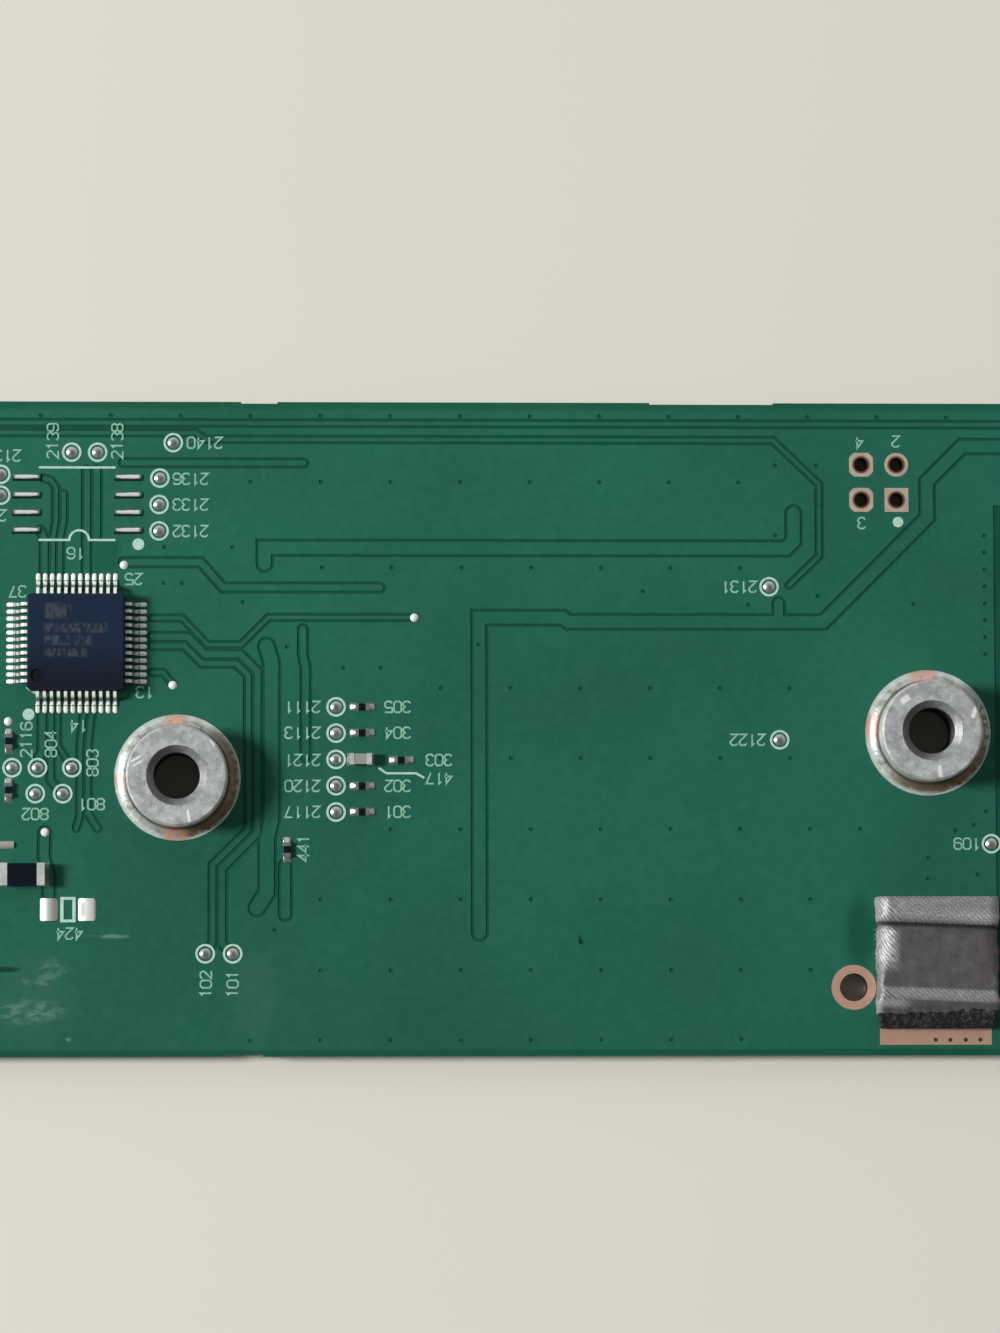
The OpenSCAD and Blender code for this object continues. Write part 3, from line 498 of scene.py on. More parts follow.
class BOARD_OT_solder(bpy.types.Operator):
    """Solder: the domes and bare lands, and concave mounds at the toes of leads and the ends of chips"""

    bl_idname = "board.solder"
    bl_label = "Solder"

    def execute(self, context):
        look = context.scene.board_metal
        chips = [f"chip_ends_{i + 1}" for i in range(8)]
        solder = bright_metal("reflowed_solder", times(look.solder, 0.72), 0.16, 2.2, 0.85).material
        wetted = self.leads(look)
        dress(solder, "controller_lands", "test_points", "chip_lands")
        dress(wetted, "controller_leads")
        dress(bright_metal("solder_fillet", look.bright, 0.34, 2.2, 0.2).material, "via_plugs")
        # The chip ends take the tin at six tenths: painted shade
        dress(bright_metal("shaded_chip_tin", times(look.tin, 0.6), 0.2, 3.0, 0.8).material, *chips)
        dress(bright_metal("broad_tin", look.tin, 0.3, 1.6, 0.55).material, "ferrite_ends", "capacitor_ends")
        dress(self.open_lands(look), "open_chip_lands")
        dress(self.beads(look), "open_package_lands")
        self.lead_toes(wetted)
        self.chip_toes(solder, chips)
        return {"FINISHED"}

    def leads(self, look):
        """Leads: painted shade, near black, where they fall from shoulder to foot, and where the solder's rim
        meets the foot.
        """
        shader = bright_metal("lead_tin", look.bright, 0.34, 4.0, 0.15)
        x, y, _ = shader.parts(shader.place(*middle_of("controller_leads")[:2]))
        out = abs(x).most(abs(y))
        # Painted shade on the bends of the leads and at the solder's rim
        painted_lead_shade = (out.band(3.92, 3.98, 4.15, 4.22) * 0.85).most(abs(out - 4.47).rise(0.08, 0.03) * 0.7)
        shader.paint(Base_Color=shader.mix(painted_lead_shade, look.bright, (0.05, 0.06, 0.06)))
        return shader.material

    def beads(self, look):
        """Bare lands in two columns: a painted highlight along each crown, thinning inwards, over painted
        shade in the mask's dark green, darkest on the lower side.
        """
        low, high = (np.array(corner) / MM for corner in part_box("open_package_lands"))
        width, gap, half = 0.55, 2.68, (high[0] - low[0]) / 2
        pitch = (high[1] - low[1] - width) / 3
        shader = bright_metal("solder_beads", look.solder, 0.22, 3.0, 0.5)
        x, y, _ = shader.parts(shader.place(*((low + high)[:2] / 2 * MM)))
        offset = ((y / pitch).math("FRACT") - 0.5) * pitch - 0.03
        reach = (abs(x) / half).rise(0.45, 0.8)
        ragged = shader.noise(shader.place(), 2.2, 3.0, 0.6) * 0.08 - 0.04
        painted_highlight = (abs(offset + ragged) / (0.06 + 0.06 * reach)).rise(1.4, 0.6)
        painted_highlight = painted_highlight * abs(x).band(gap, gap + 0.22, half - 0.3, half - 0.05)
        # Painted shade: each land is painted dark green, darkest below its crown
        side = shader.mix(offset.rise(-0.08, -0.2), (0.05, 0.13, 0.1), (0.012, 0.04, 0.03))
        shader.paint(Base_Color=shader.mix(painted_highlight, side, (0.93, 0.95, 0.92)))
        return shader.material

    def open_lands(self, look):
        """Bare lands of the left-out chip: pale solder, darker and brown across the middle of each land, in
        soft patches and towards their inner and outer edges, with corners in dark green so they look rounded.
        """
        low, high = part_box("open_chip_lands")
        length, width, span = 1.6, 1.25, 3.95
        shader = bright_metal("open_land_solder", look.bright, 0.34, 2.0, 0.35)
        place = shader.place(high.x - span / 2 * MM, low.y + length / 2 * MM)
        x, y, _ = shader.parts(place)
        offset = abs(abs(x) - (span - width) / 2)
        patch = shader.noise(place, 0.9, 3.0, 0.6)
        bronze = x.band(-1.9, -0.9, -0.2, 0.2) * 0.9
        bronze = bronze.most(x.band(0.2, 0.4, 1.0, 1.3) * abs(y).rise(0.6, 0.35))
        bronze = (bronze * 0.85).most(patch.rise(0.5, 0.8) * 0.4)
        bronze = bronze.most(offset.rise(width * 0.32, width * 0.5) * 0.8)
        base = shader.mix(bronze, look.bright, (0.27, 0.24, 0.21))
        rounded = (offset / width + abs(y) / length).rise(0.86, 0.95) * abs(y).rise(length, length * 0.8)
        shader.paint(Base_Color=shader.mix(rounded, base, (0.03, 0.08, 0.06)))
        return shader.material

    def lead_toes(self, material):
        low, high = (np.array(corner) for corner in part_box("controller_leads"))
        centre = (low + high)[:2] / 2
        reach = (high - low)[0] / 2
        leads, pitch, width, wrap = 12, 0.5 * MM, 0.32 * MM, 0.16 * MM
        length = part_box("controller_lands")[1].x - centre[0] - reach + wrap
        random = np.random.default_rng(SEED)
        toes = []
        for along in np.array([[1, 0], [0, 1], [-1, 0], [0, -1]], float):
            across = np.array([-along[1], along[0]])
            for lead in range(leads):
                start = centre + along * (reach - wrap) + across * (lead - (leads - 1) / 2) * pitch
                height = (0.17 + 0.04 * random.random()) * MM
                toes.append(mound(start, along, length, width, height, random.uniform(-0.2, 0.2)))
        toe = add_piece("controller_toes", *merged(toes), material, "solder")
        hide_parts("controller_solder")

    def chip_toes(self, material, chips):
        toes = []
        bite = 0.03 * MM
        random = np.random.default_rng(SEED + 1)
        for name, toe, share_of_height in [
            *((chip, 0.4, 0.8) for chip in chips),
            ("capacitor_ends", 0.2, 0.7),
            ("ferrite_ends", 0.3, 0.7),
        ]:
            low, high = (np.array(corner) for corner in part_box(name))
            size = high - low
            axis = int(size[1] > size[0])
            for sign in (-1, 1):
                along = np.zeros(2)
                along[axis] = sign
                start = (low + high)[:2] / 2 + along * (size[axis] / 2 - bite)
                height = size[2] * share_of_height
                lean = random.uniform(-0.15, 0.15)
                toes.append(mound(start, along, toe * MM + bite, size[1 - axis], height, lean))
        piece = add_piece("chip_toes", *merged(toes), material, "solder")
        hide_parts("chip_solder")


# ---- package and chips

# Bars of the marking: x from and to, y from and to, from the package's middle
BARS = [
    (-2.2, -0.35, 1.65, 2.75), (-2.25, 2.2, 0.65, 1.3), (-2.2, -0.45, -0.25, 0.45),
    (-0.1, 1.1, -0.25, 0.45), (-2.2, 0.8, -1.05, -0.5),
]


class BOARD_OT_package(bpy.types.Operator):
    """Matte epoxy of the package, with faint plain bars where a marking sits"""

    bl_idname = "board.package"
    bl_label = "Package"

    def execute(self, context):
        look = context.scene.board_parts
        shader = Shader("moulded_epoxy", IOR=1.45, Specular_IOR_Level=0.2)
        place = shader.place(*middle_of("controller_body"))
        x, y, z = shader.parts(place)
        grain = shader.noise(place, 6.0, 3.0, 0.7)
        base = shader.tone(grain, look.epoxy, 0.85, 1.25)
        base = shader.mix(y.rise(0.6, -3.2) * 0.85, base, times(look.epoxy, 0.22))
        marks = shader.field(x, y, *BARS[0], soft=0.12)
        for bar in BARS[1:]:
            marks = marks.most(shader.field(x, y, *bar, soft=0.12))
        broken = shader.noise(shader.stretched(place, (1.6, 0.7, 1)), 2.4).rise(0.35, 0.6)
        base = shader.mix(marks * broken * z.rise(0.66, 0.69) * 0.7, base, look.marking)
        # Painted shade in the pin-one dimple
        dimple = distance(x + 2.75, y + 2.45).rise(0.58, 0.44)
        base = shader.mix(dimple * 0.8, base, times(look.epoxy, 0.1))
        shader.paint(Base_Color=base, Roughness=0.55 + 0.2 * grain)
        shader.emboss(shader.noise(place, 22.0), 0.012, 0.7)
        dress(shader.material, "controller_body")
        return {"FINISHED"}


class BOARD_OT_chips(bpy.types.Operator):
    """Ceramic bodies of the chips, the capacitor and the ferrite bead"""

    bl_idname = "board.chips"
    bl_label = "Chips"

    def execute(self, context):
        look = context.scene.board_parts
        for name, tone, nodes in [
            ("dark_ceramic", look.dark, ["ferrite_body", *(f"chip_body_{i + 1}" for i in range(8))]),
            ("pale_ceramic", look.pale, ["capacitor_body"]),
        ]:
            shader = Shader(name, IOR=1.5, Specular_IOR_Level=0.15)
            place = shader.place()
            grain = shader.noise(place, 5.0, 3.0, 0.6)
            shader.paint(Base_Color=shader.tone(grain, tone, 1, 1.2), Roughness=0.32 + 0.2 * grain)
            shader.emboss(shader.noise(place, 14.0), 0.01, 0.5)
            dress(shader.material, *nodes)
        return {"FINISHED"}


# ---- standoffs

# Marks that a tool left on each face: x, y, length, width and turn in degrees, from the axis
FACE_MARKS = {
    "left": [(-2.9, 1.15, 0.8, 0.16, 30), (-2.75, 0.85, 0.7, 0.14, 30), (2.55, 2.35, 0.55, 0.22, -50),
             (0.85, -2.9, 0.9, 0.2, 100)],
    "right": [(-1.95, 2.2, 0.7, 0.45, 35), (3.0, 1.3, 0.3, 0.9, -20), (0.5, -2.9, 0.25, 0.85, 5)],
}
# Patches on each ring: middle angle and half width in degrees, then True for blush or False for flux; the
# flux patches lie on the side away from the light and stand partly for painted shade
RING_PATCHES = {
    "left": [(92, 10, True), (183, 7, True), (268, 12, True), (0, 46, False), (305, 26, False)],
    "right": [(95, 12, True), (174, 12, True), (268, 34, False), (320, 30, False)],
}


class BOARD_OT_standoffs(bpy.types.Operator):
    """Turned and rubbed faces of the standoffs, their solder rings, and the threads in their bores"""

    bl_idname = "board.standoffs"
    bl_label = "Standoffs"

    def execute(self, context):
        look = context.scene.board_metal
        for side in ("left", "right"):
            low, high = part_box(f"standoff_{side}")
            centre = (low + high) / 2
            metal = self.face(look, side, centre, high.z / MM)
            dress(metal, f"standoff_{side}")
            dress(self.ring(look, side, centre), f"standoff_solder_{side}")
            self.thread(side, centre, low.z, high.z, metal)
        return {"FINISHED"}

    def face(self, look, side, centre, top):
        shader = Shader(f"standoff_{side}_metal")
        place = shader.place(centre.x, centre.y)
        x, y, z = shader.parts(place)
        radius = distance(x, y)
        cloud = shader.noise(place, 0.9, 4.0, 0.65)
        fleck = shader.noise(place, 1.9, 5.0, 0.75)
        base = shader.tone(cloud.rise(0.35, 0.7), look.steel, 0.72)
        base = shader.mix(shader.noise(place, 2.7).rise(0.56, 0.72) * 0.5, base, look.worn)
        base = shader.mix(fleck.rise(0.5, 0.34) * 0.5, base, (0.2, 0.2, 0.21))
        base = shader.mix(fleck.rise(0.58, 0.7) * 0.6, base, (0.78, 0.78, 0.76))
        for mark_x, mark_y, length, width, turn in FACE_MARKS[side]:
            cosine, sine = math.cos(math.radians(turn)), math.sin(math.radians(turn))
            along = (x - mark_x) * cosine + (y - mark_y) * sine
            across = (y - mark_y) * cosine - (x - mark_x) * sine
            mark = abs(along).rise(length / 2 + 0.1, length / 2 - 0.1)
            mark = mark * abs(across).rise(width / 2 + 0.06, width / 2 - 0.06)
            base = shader.mix(mark * z.rise(top - 0.1, top - 0.05), base, (0.9, 0.9, 0.9))
        # Painted shade: the bore's walls are painted near black
        painted_bore_shade = radius.rise(1.75, 1.6) * z.rise(top - 0.4, top - 0.8)
        base = shader.mix(painted_bore_shade, base, (0.008, 0.007, 0.006))
        chamfer = radius.rise(2.2, 2.1)
        # Painted shade on the left side of the chamfer, which faces away from the light
        base = shader.mix(chamfer * x.rise(0.9, -1.0) * 0.6, base, (0.05, 0.045, 0.04))
        shader.paint(Base_Color=base, Roughness=0.36 + 0.22 * cloud, Metallic=0.35 + 0.55 * chamfer)
        turned = shader.emboss((radius * 46.0).sine() * 0.5 + 0.5, 0.004, 0.35)
        shader.emboss(cloud, 0.05, 0.5, Normal=turned)
        return shader.material

    def ring(self, look, side, centre):
        shader = Shader(f"standoff_{side}_solder", Metallic=0.45)
        place = shader.place(centre.x, centre.y)
        x, y, _ = shader.parts(place)
        radius = distance(x, y)
        patch = shader.noise(place, 1.6, 3.0, 0.6)
        base = shader.tone(patch.rise(0.3, 0.7), look.solder, 0.85)
        base = shader.shade(base, 0.62 + 0.38 * radius.rise(4.05, 4.28))
        base = shader.mix(patch.rise(0.5, 0.36) * radius.rise(4.3, 4.0) * 0.5, base, look.flux)
        # Painted shade with brown flux on the side away from the light
        shade_side = ((x * 0.9 - y * 0.44) / radius).rise(0.1, 0.75)
        burnt = shader.noise(place, 3.2, 4.0, 0.7).rise(0.42, 0.6)
        cover = shade_side * radius.rise(4.5, 4.3) * (0.3 + 0.6 * burnt)
        base = shader.mix(cover, base, times(look.flux, 0.55))
        for degrees, half, blush in RING_PATCHES[side]:
            angle = math.radians(degrees)
            facing = (x * math.cos(angle) + y * math.sin(angle)) / radius
            cover = facing.rise(math.cos(math.radians(half * 1.4)), math.cos(math.radians(half * 0.5)))
            cover = cover * (0.35 + 0.65 * patch.rise(0.3, 0.5))
            if not blush:
                cover = cover * radius.rise(4.42, 4.1)
            base = shader.mix(cover * 0.85, base, look.blush if blush else look.flux)
        base = shader.mix(radius.rise(3.85, 3.66) * 0.8, base, (0.09, 0.05, 0.035))
        shader.paint(Base_Color=base, Roughness=0.22 + 0.25 * patch)
        shader.emboss(shader.noise(place, 3.0, 3.0), 0.05, 0.6)
        return shader.material

    def thread(self, side, centre, low, high, material):
        """Helix of a low ridge: angle and height rise together, and the ridge fades at its ends."""
        pitch, wall, crest = 0.7 * MM, 1.66 * MM, 1.6 * MM
        start, end = low + 0.4 * MM, high - 0.95 * MM
        turns = (end - start) / pitch
        step = np.linspace(0, 1, int(turns * 48))[:, None]
        angle = step * turns * 2 * np.pi
        fade = np.clip(np.minimum(step, 1 - step) * turns * 3, 0, 1)
        radius = wall - fade * np.array([[0, 0, 1, 1]]) * (wall - crest)
        rise = start + step * (end - start) + np.array([[-0.3, 0.3, 0.07, -0.07]]) * MM
        points = np.stack([centre.x + radius * np.cos(angle), centre.y + radius * np.sin(angle), rise], -1)
        last = (len(step) - 1) * 4
        ends = [[0, 1, 2, 3], [last + 3, last + 2, last + 1, last]]
        faces = [*grid_faces(len(step), 4, closed=True).tolist(), *ends]
        add_piece(f"thread_{side}", points, faces, material, "standoff_metal")


# ---- print

# Strokes of the figures on a grid 4 wide and 6 high
FIGURES = {
    "0": [(1, 0), (3, 0), (4, 1), (4, 5), (3, 6), (1, 6), (0, 5), (0, 1), (1, 0)],
    "1": [(0.8, 4.8), (2, 6), (2, 0)],
    "2": [(0, 5), (1, 6), (3, 6), (4, 5), (4, 4), (0, 0), (4, 0)],
    "3": [(0, 5), (1, 6), (3, 6), (4, 5), (4, 4), (3, 3), (4, 2), (4, 1), (3, 0), (1, 0), (0, 1)],
    "4": [(3, 0), (3, 6), (0, 2), (4, 2)],
    "5": [(4, 6), (0, 6), (0, 3.5), (3, 3.5), (4, 2.5), (4, 1), (3, 0), (1, 0), (0, 1)],
    "6": [(4, 5), (3, 6), (1, 6), (0, 5), (0, 1), (1, 0), (3, 0), (4, 1), (4, 2.5), (3, 3.5), (0, 3.5)],
    "7": [(0, 6), (4, 6), (1.5, 0)],
    "8": [(1, 3), (0, 4), (0, 5), (1, 6), (3, 6), (4, 5), (4, 4), (3, 3), (4, 2), (4, 1), (3, 0), (1, 0),
          (0, 1), (0, 2), (1, 3), (3, 3)],
    "9": [(0, 1), (1, 0), (3, 0), (4, 1), (4, 5), (3, 6), (1, 6), (0, 5), (0, 3.5), (1, 2.5), (4, 2.5)],
}
# Plain numbers on the board: figures, x and y of the middle in millimetres, and turn in degrees
NUMBERS = [
    ("2140", -21.2, 20.45, 180), ("2136", -22.2, 17.85, 180), ("2133", -22.2, 16, 180),
    ("2132", -22.2, 14.1, 180), ("2139", -32.05, 20.55, 90), ("2138", -27.45, 20.55, 90),
    ("2137", -35.6, 19.5, 180), ("2135", -36.6, 15.2, 180),
    ("2111", -14.2, 1.5, 180), ("2113", -14.2, -0.35, 180), ("2121", -14.2, -2.3, 180),
    ("2120", -14.2, -4.15, 180), ("2117", -14.2, -6, 180),
    ("305", -7.4, 1.5, 180), ("304", -7.4, -0.35, 180), ("302", -7.4, -4.15, 180),
    ("301", -7.4, -6, 180), ("303", -4.45, -2.3, 180), ("417", -4.45, -3.6, 180),
    ("441", -14.1, -8.6, 90), ("102", -21.05, -18.25, 90), ("101", -19.15, -18.25, 90),
    ("2116", -33.85, -0.85, 90), ("804", -32.1, -1.15, 90), ("803", -29.15, -2.5, 90),
    ("802", -33.2, -6.15, 180), ("801", -29.2, -5.45, 180), ("424", -30.75, -14.65, 180),
    ("2131", 17.1, 10.15, 180), ("2122", 17.65, -0.85, 180), ("109", 33.35, -8.3, 180),
    ("4", 25.8, 20.55, 180), ("2", 28.45, 20.65, 180), ("3", 25.95, 14.75, 180),
    ("37", -34.5, 9.75, 180), ("25", -26.25, 10.65, 180), ("13", -25.45, 2.55, 180),
    ("14", -30.15, 0.15, 180), ("16", -30.4, 12.5, 180),
]


def printed_stroke(path, width, low, high):
    """A flat bar carried along a path: at each corner both sides move out along the mitre,
    (m + n) / (1 + m . n) of the normals m and n of the two lines that meet there."""
    step = np.diff(path, axis=0)
    normal = np.stack([-step[:, 1], step[:, 0]], -1) / np.linalg.norm(step, axis=1)[:, None]
    before = np.concatenate([normal[:1], normal])
    after = np.concatenate([normal, normal[-1:]])
    if np.allclose(path[0], path[-1]):
        before[0], after[-1] = normal[-1], normal[0]
    mitre = (before + after) / (1 + (before * after).sum(1))[:, None] * width / 2
    points = np.zeros((len(path), 4, 3))
    for corner, (side, level) in enumerate([(mitre, high), (-mitre, high), (-mitre, low), (mitre, low)]):
        points[:, corner, :2] = path + side
        points[:, corner, 2] = level
    last = (len(path) - 1) * 4
    ends = [[3, 2, 1, 0], [last, last + 1, last + 2, last + 3]]
    return points, [*grid_faces(len(path), 4, closed=True)[:, ::-1].tolist(), *ends]


class BOARD_OT_print(bpy.types.Operator):
    """White legend: rings, outlines and plain numbers"""

    bl_idname = "board.print"
    bl_label = "Legend"

    def execute(self, context):
        look = context.scene.board_print
        shader = Shader("legend_ink", IOR=1.45)
        place = shader.place()
        worn = shader.noise(place, 4.0, 3.0, 0.7).rise(0.3, 0.62)
        shader.paint(Base_Color=shader.tone(worn, look.ink, 0.78), Roughness=0.6)
        shader.emboss(shader.noise(place, 9.0), 0.01, 0.5)
        dress(shader.material, "legend_rings", "legend_marks")
        shader = Shader("legend_figures", IOR=1.45, Specular_IOR_Level=0.25)
        worn = shader.noise(shader.place(), 1.8, 3.0, 0.6).rise(0.35, 0.65)
        shader.paint(Base_Color=shader.tone(worn, look.faint, 0.75), Roughness=0.65)
        wide, high, advance = 4, 6, 5
        unit = look.height / high
        strokes = []
        for text, x, y, turn in NUMBERS:
            cosine, sine = math.cos(math.radians(turn)), math.sin(math.radians(turn))
            spin = np.array([[cosine, -sine], [sine, cosine]])
            for index, figure in enumerate(text):
                shift = np.array([(index - (len(text) - 1) / 2) * advance - wide / 2, -high / 2])
                path = (np.array(FIGURES[figure]) + shift) * unit @ spin.T + np.array([x, y]) * MM
                strokes.append(printed_stroke(path, look.stroke, BOARD_TOP, BOARD_TOP + look.thickness))
        add_piece("legend_numbers", *merged(strokes), shader.material, "legend_ink", smooth=False)
        return {"FINISHED"}


# ---- gasket


class BOARD_OT_gasket(bpy.types.Operator):
    """Gasket: woven fabric over a foam core, pressed flat behind a raised lip, with frayed edges"""

    bl_idname = "board.gasket"
    bl_label = "Gasket"

    # Height of the gasket along its length: millimetres from the back, and share of the full height
    ALONG = [0, 0.12, 0.4, 0.8, 1.3, 1.6, 1.75, 1.95, 2.2, 4.0, 6.2, 6.6, 6.95, 7.35, 7.7, 7.95, 8.25,
             8.8, 9.2, 9.5]
    SHARE = [0.86, 0.94, 0.985, 1, 0.99, 0.94, 0.84, 0.745, 0.765, 0.785, 0.775, 0.79, 0.815, 0.8,
             0.75, 0.66, 0.54, 0.36, 0.2, 0.1]
    CREASE_SLOPE = 0.04
    # Length and girth of the cloth in its UV, in millimetres
    CLOTH = 8.2, 14.0

    def execute(self, context):
        look = context.scene.board_gasket
        low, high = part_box("gasket_fabric")
        self.centre_x = (low.x + high.x) / 2
        self.back = high.y
        self.base = low.z
        self.half = (high.x - low.x) / 2
        self.height = high.z - low.z
        self.cloth_length = high.y - low.y
        self.length = high.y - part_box("gasket_foam")[0].y
        self.cover(look)
        self.core(look)
        self.frays(look)
        return {"FINISHED"}

    def across(self, share_round, inset, r):
        """Cross section by a share from 0 to 1 of its length: up one side, round an edge of radius r,
        over the top and down. Returns x from the middle, height from the base, and the outward normal."""
        r = r - inset
        half, top = self.half - inset, self.height - inset
        wall, flat, turn = top - r, 2 * (half - r), r * np.pi / 2
        run = share_round * (2 * wall + flat + 2 * turn)
        a = np.clip((run - wall) / r, 0, np.pi / 2)
        over = np.clip(run - wall - turn, 0, flat)
        b = np.clip((run - wall - turn - flat) / r, 0, np.pi / 2)
        fall = np.clip(run - wall - 2 * turn - flat, 0, wall)
        x = -half + r * (1 - np.cos(a)) + over + r * np.sin(b)
        z = np.minimum(run, wall) + r * np.sin(a) - r * (1 - np.cos(b)) - fall
        return x, z, -np.cos(a) + np.sin(b), np.sin(a) * np.cos(b)

    def surface(self, rows, columns, start, end, inset):
        """The cross section carried along the gasket, its height scaled by the share of height at each
        place, which the crease's slope, a share of x, moves. The edges are sharper towards the front, and
        the sides wave."""
        along = np.linspace(start, end, rows)[:, None]
        radius = np.interp(along / MM, [1.9, 2.4, 4.4, 6.0], [0.9, 1.25, 1.0, 0.45]) * MM
        x, z, nx, nz = self.across(np.linspace(0, 1, columns)[None, :], inset, radius)
        sloped = self.CREASE_SLOPE * (x + self.half) * np.clip(along / (0.8 * MM), 0, 1)
        place = (along - sloped) / MM
        scale = sum(np.interp(place + shift, self.ALONG, self.SHARE) for shift in (-0.08, 0, 0.08)) / 3
        slouch = (0.05 * np.sin(along / MM * 1.7 + 0.6) + 0.03 * np.sin(along / MM * 5.3) - 0.05) * MM
        points = [self.centre_x + x + slouch * nx, self.back - along, self.base + z * scale]
        normal = [nx, 0 * along, nz]
        return *(np.stack(np.broadcast_arrays(*axes), -1) for axes in (points, normal)), along, x

    def cover(self, look):
        """Fabric: diagonal ridges sin((s - t) k) broken by sin((s + t) k), pressed away on the flat, lift
        the surface along its normal, and slow waves leave it uneven. A smooth inner side, one thickness
        in, closes it."""
        rows, columns = 160, 290
        length, girth = self.CLOTH
        points, normal, along, x = self.surface(rows, columns, 0, self.cloth_length, 0)
        inner = self.surface(rows, columns, 0, self.cloth_length, look.thickness)[0]
        s = np.linspace(0, girth * MM, columns)
        k = 2 * np.pi / look.pitch
        loose = 1 - self.pressed(along / MM, x / MM)
        ridge = np.sin((s - along) * 0.7 * k) * (0.7 + 0.3 * np.sin((s + along) * 0.35 * k))
        wave = np.sin(s * 900 + 2 * np.sin(along * 1300)) * np.sin(along * 1700 + 1.3)
        lift = look.depth * 0.5 * (ridge * (0.25 + 0.75 * loose) - 1) + 0.03 * MM * (wave * loose - 1)
        points = points + normal * lift[..., None]
        ragged = 0.035 * MM * (np.sin(s * 1900) + np.sin(s * 4300 + 1) + np.sin(s * 9100 + 2))
        ragged = ragged - 0.14 * MM * np.clip(x / self.half, -0.4, 1)
        ragged = ragged * np.clip((along - self.cloth_length + 0.5 * MM) / (0.5 * MM), 0, 1)
        points[..., 1] -= ragged
        points[..., 2] = np.maximum(points[..., 2], self.base)
        inner[..., 1] -= ragged
        rings = np.concatenate([points, inner[::-1]]).transpose(1, 0, 2)
        sides = grid_faces(columns, 2 * rows, closed=True)[:, ::-1]
        near = np.arange(rows - 1)
        foot = np.stack([near, near + 1, 2 * rows - 2 - near, 2 * rows - 1 - near], -1)
        faces = np.concatenate([sides, foot[:, ::-1], foot + (columns - 1) * 2 * rows]).tolist()
        piece = add_piece("gasket_cover", rings, faces, self.fabric_material(look), "metallised_fabric")
        out = np.arange(rows) / rows * length
        round_it = np.arange(columns)[:, None] / columns * girth
        places = np.stack(np.broadcast_arrays(round_it, np.concatenate([out, out[::-1]])), -1)
        self.uv(piece, places.reshape(-1, 2))
        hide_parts("gasket_fabric")

    def pressed(self, along, x):
        """1 on the flat that the cover has pressed, 0 elsewhere."""

        def step(value, low, high):
            t = np.clip((value - low) / (high - low), 0, 1)
            return t * t * (3 - 2 * t)

        flat = step(along, 1.9, 2.3) * (1 - step(along, 6.1, 6.5))
        return flat * step(x, -3.2, -2.4) * (1 - step(x, 3.9, 4.2))

    def uv(self, piece, places):
        """UV of a piece from a place for each of its points, in millimetres across and along the cloth."""
        layer = piece.data.uv_layers.new(name="cloth")
        index = np.zeros(len(piece.data.loops), np.int32)
        piece.data.loops.foreach_get("vertex_index", index)
        layer.data.foreach_set("uv", places[index].astype(np.float32).ravel())

    def fabric_material(self, look):
        """Painted light on the weave at the lip, the left shoulder, the front strip and the left front
        corner; elsewhere the pressed tone:
        pressed fabric on the flat, painted shade on the rest, brown on its right side; painted shade in the
        crease behind the lip."""
        shader = Shader("metallised_weave", Metallic=0.35)
        x, y, _ = shader.parts(shader.place(self.centre_x, self.back))
        cloth = shader.node("ShaderNodeUVMap", {"uv_map": "cloth"}).outputs[0]
        u, v, _ = shader.parts(cloth)
        down, up = u - v, u + v
        turns = 2 * math.pi / (look.pitch / MM)
        thread = (down * 0.7 * turns).sine() * 0.5 + 0.5
        thread = thread * ((up * 0.35 * turns).sine() * 0.2 + 0.8)
        cross = (up * 1.1 * turns).sine() * (down * 1.4 * turns).sine() * 0.5 + 0.5
        grit = shader.noise(cloth, 7.0, 3.0, 0.8).rise(0.36, 0.64)
        strand = shader.node("ShaderNodeCombineXYZ", None, down * 4.0, up * 0.9, 0.0).outputs[0]
        glint = shader.noise(strand, 1.0, 3.0, 0.7).rise(0.3, 0.7)
        mottle = shader.noise(cloth, 1.1, 3.0, 0.6)
        a = 0 - y - self.CREASE_SLOPE * (x + self.half / MM)
        lip = a.rise(1.85, 1.65)
        light = lip * (0.5 + 0.3 * a.rise(0.5, 1.2) + 0.25 * x.rise(0.5, 3.2) * a.rise(0.7, 1.3))
        for patch in (
            lip * x.rise(-3.3, -3.9),
            x.rise(-2.6, -3.4) * a.band(2.0, 2.5, 4.2, 5.4),
            a.band(6.25, 6.5, 7.1, 7.3) * 0.5,
            x.rise(-1.6, -3.0) * a.band(6.9, 7.2, 7.6, 8.0) * 0.5,
            x.rise(-3.9, -4.2) * 0.5,
        ):
            light = light.most(patch)
        fine = cross * 0.45 + grit * 0.6
        bold = x.rise(-2.2, -3.0).most(a.rise(5.9, 6.2) * 0.35)
        woven = 0.1 + 0.95 * (fine + bold * (thread * 0.5 + glint * 0.68 - fine))
        woven = a.rise(7.1, 7.4).most(woven)
        base = shader.mix(light * woven, shader.shade(look.rubbed, 0.45 + 1.1 * mottle), look.fabric)
        # Painted shade in the crease behind the lip
        base = shader.mix(a.band(1.7, 1.8, 1.95, 2.15) * 0.7, base, (0.035, 0.028, 0.026))
        brown = x.rise(2.6, 4.0) * a.band(2.2, 2.6, 5.0, 6.0) * 0.45
        shader.paint(Base_Color=shader.mix(brown, base, (0.085, 0.06, 0.062)), Roughness=0.42 + 0.2 * glint)
        shader.emboss(thread * light + glint * 0.3, 0.03, 0.7)
        return shader.material

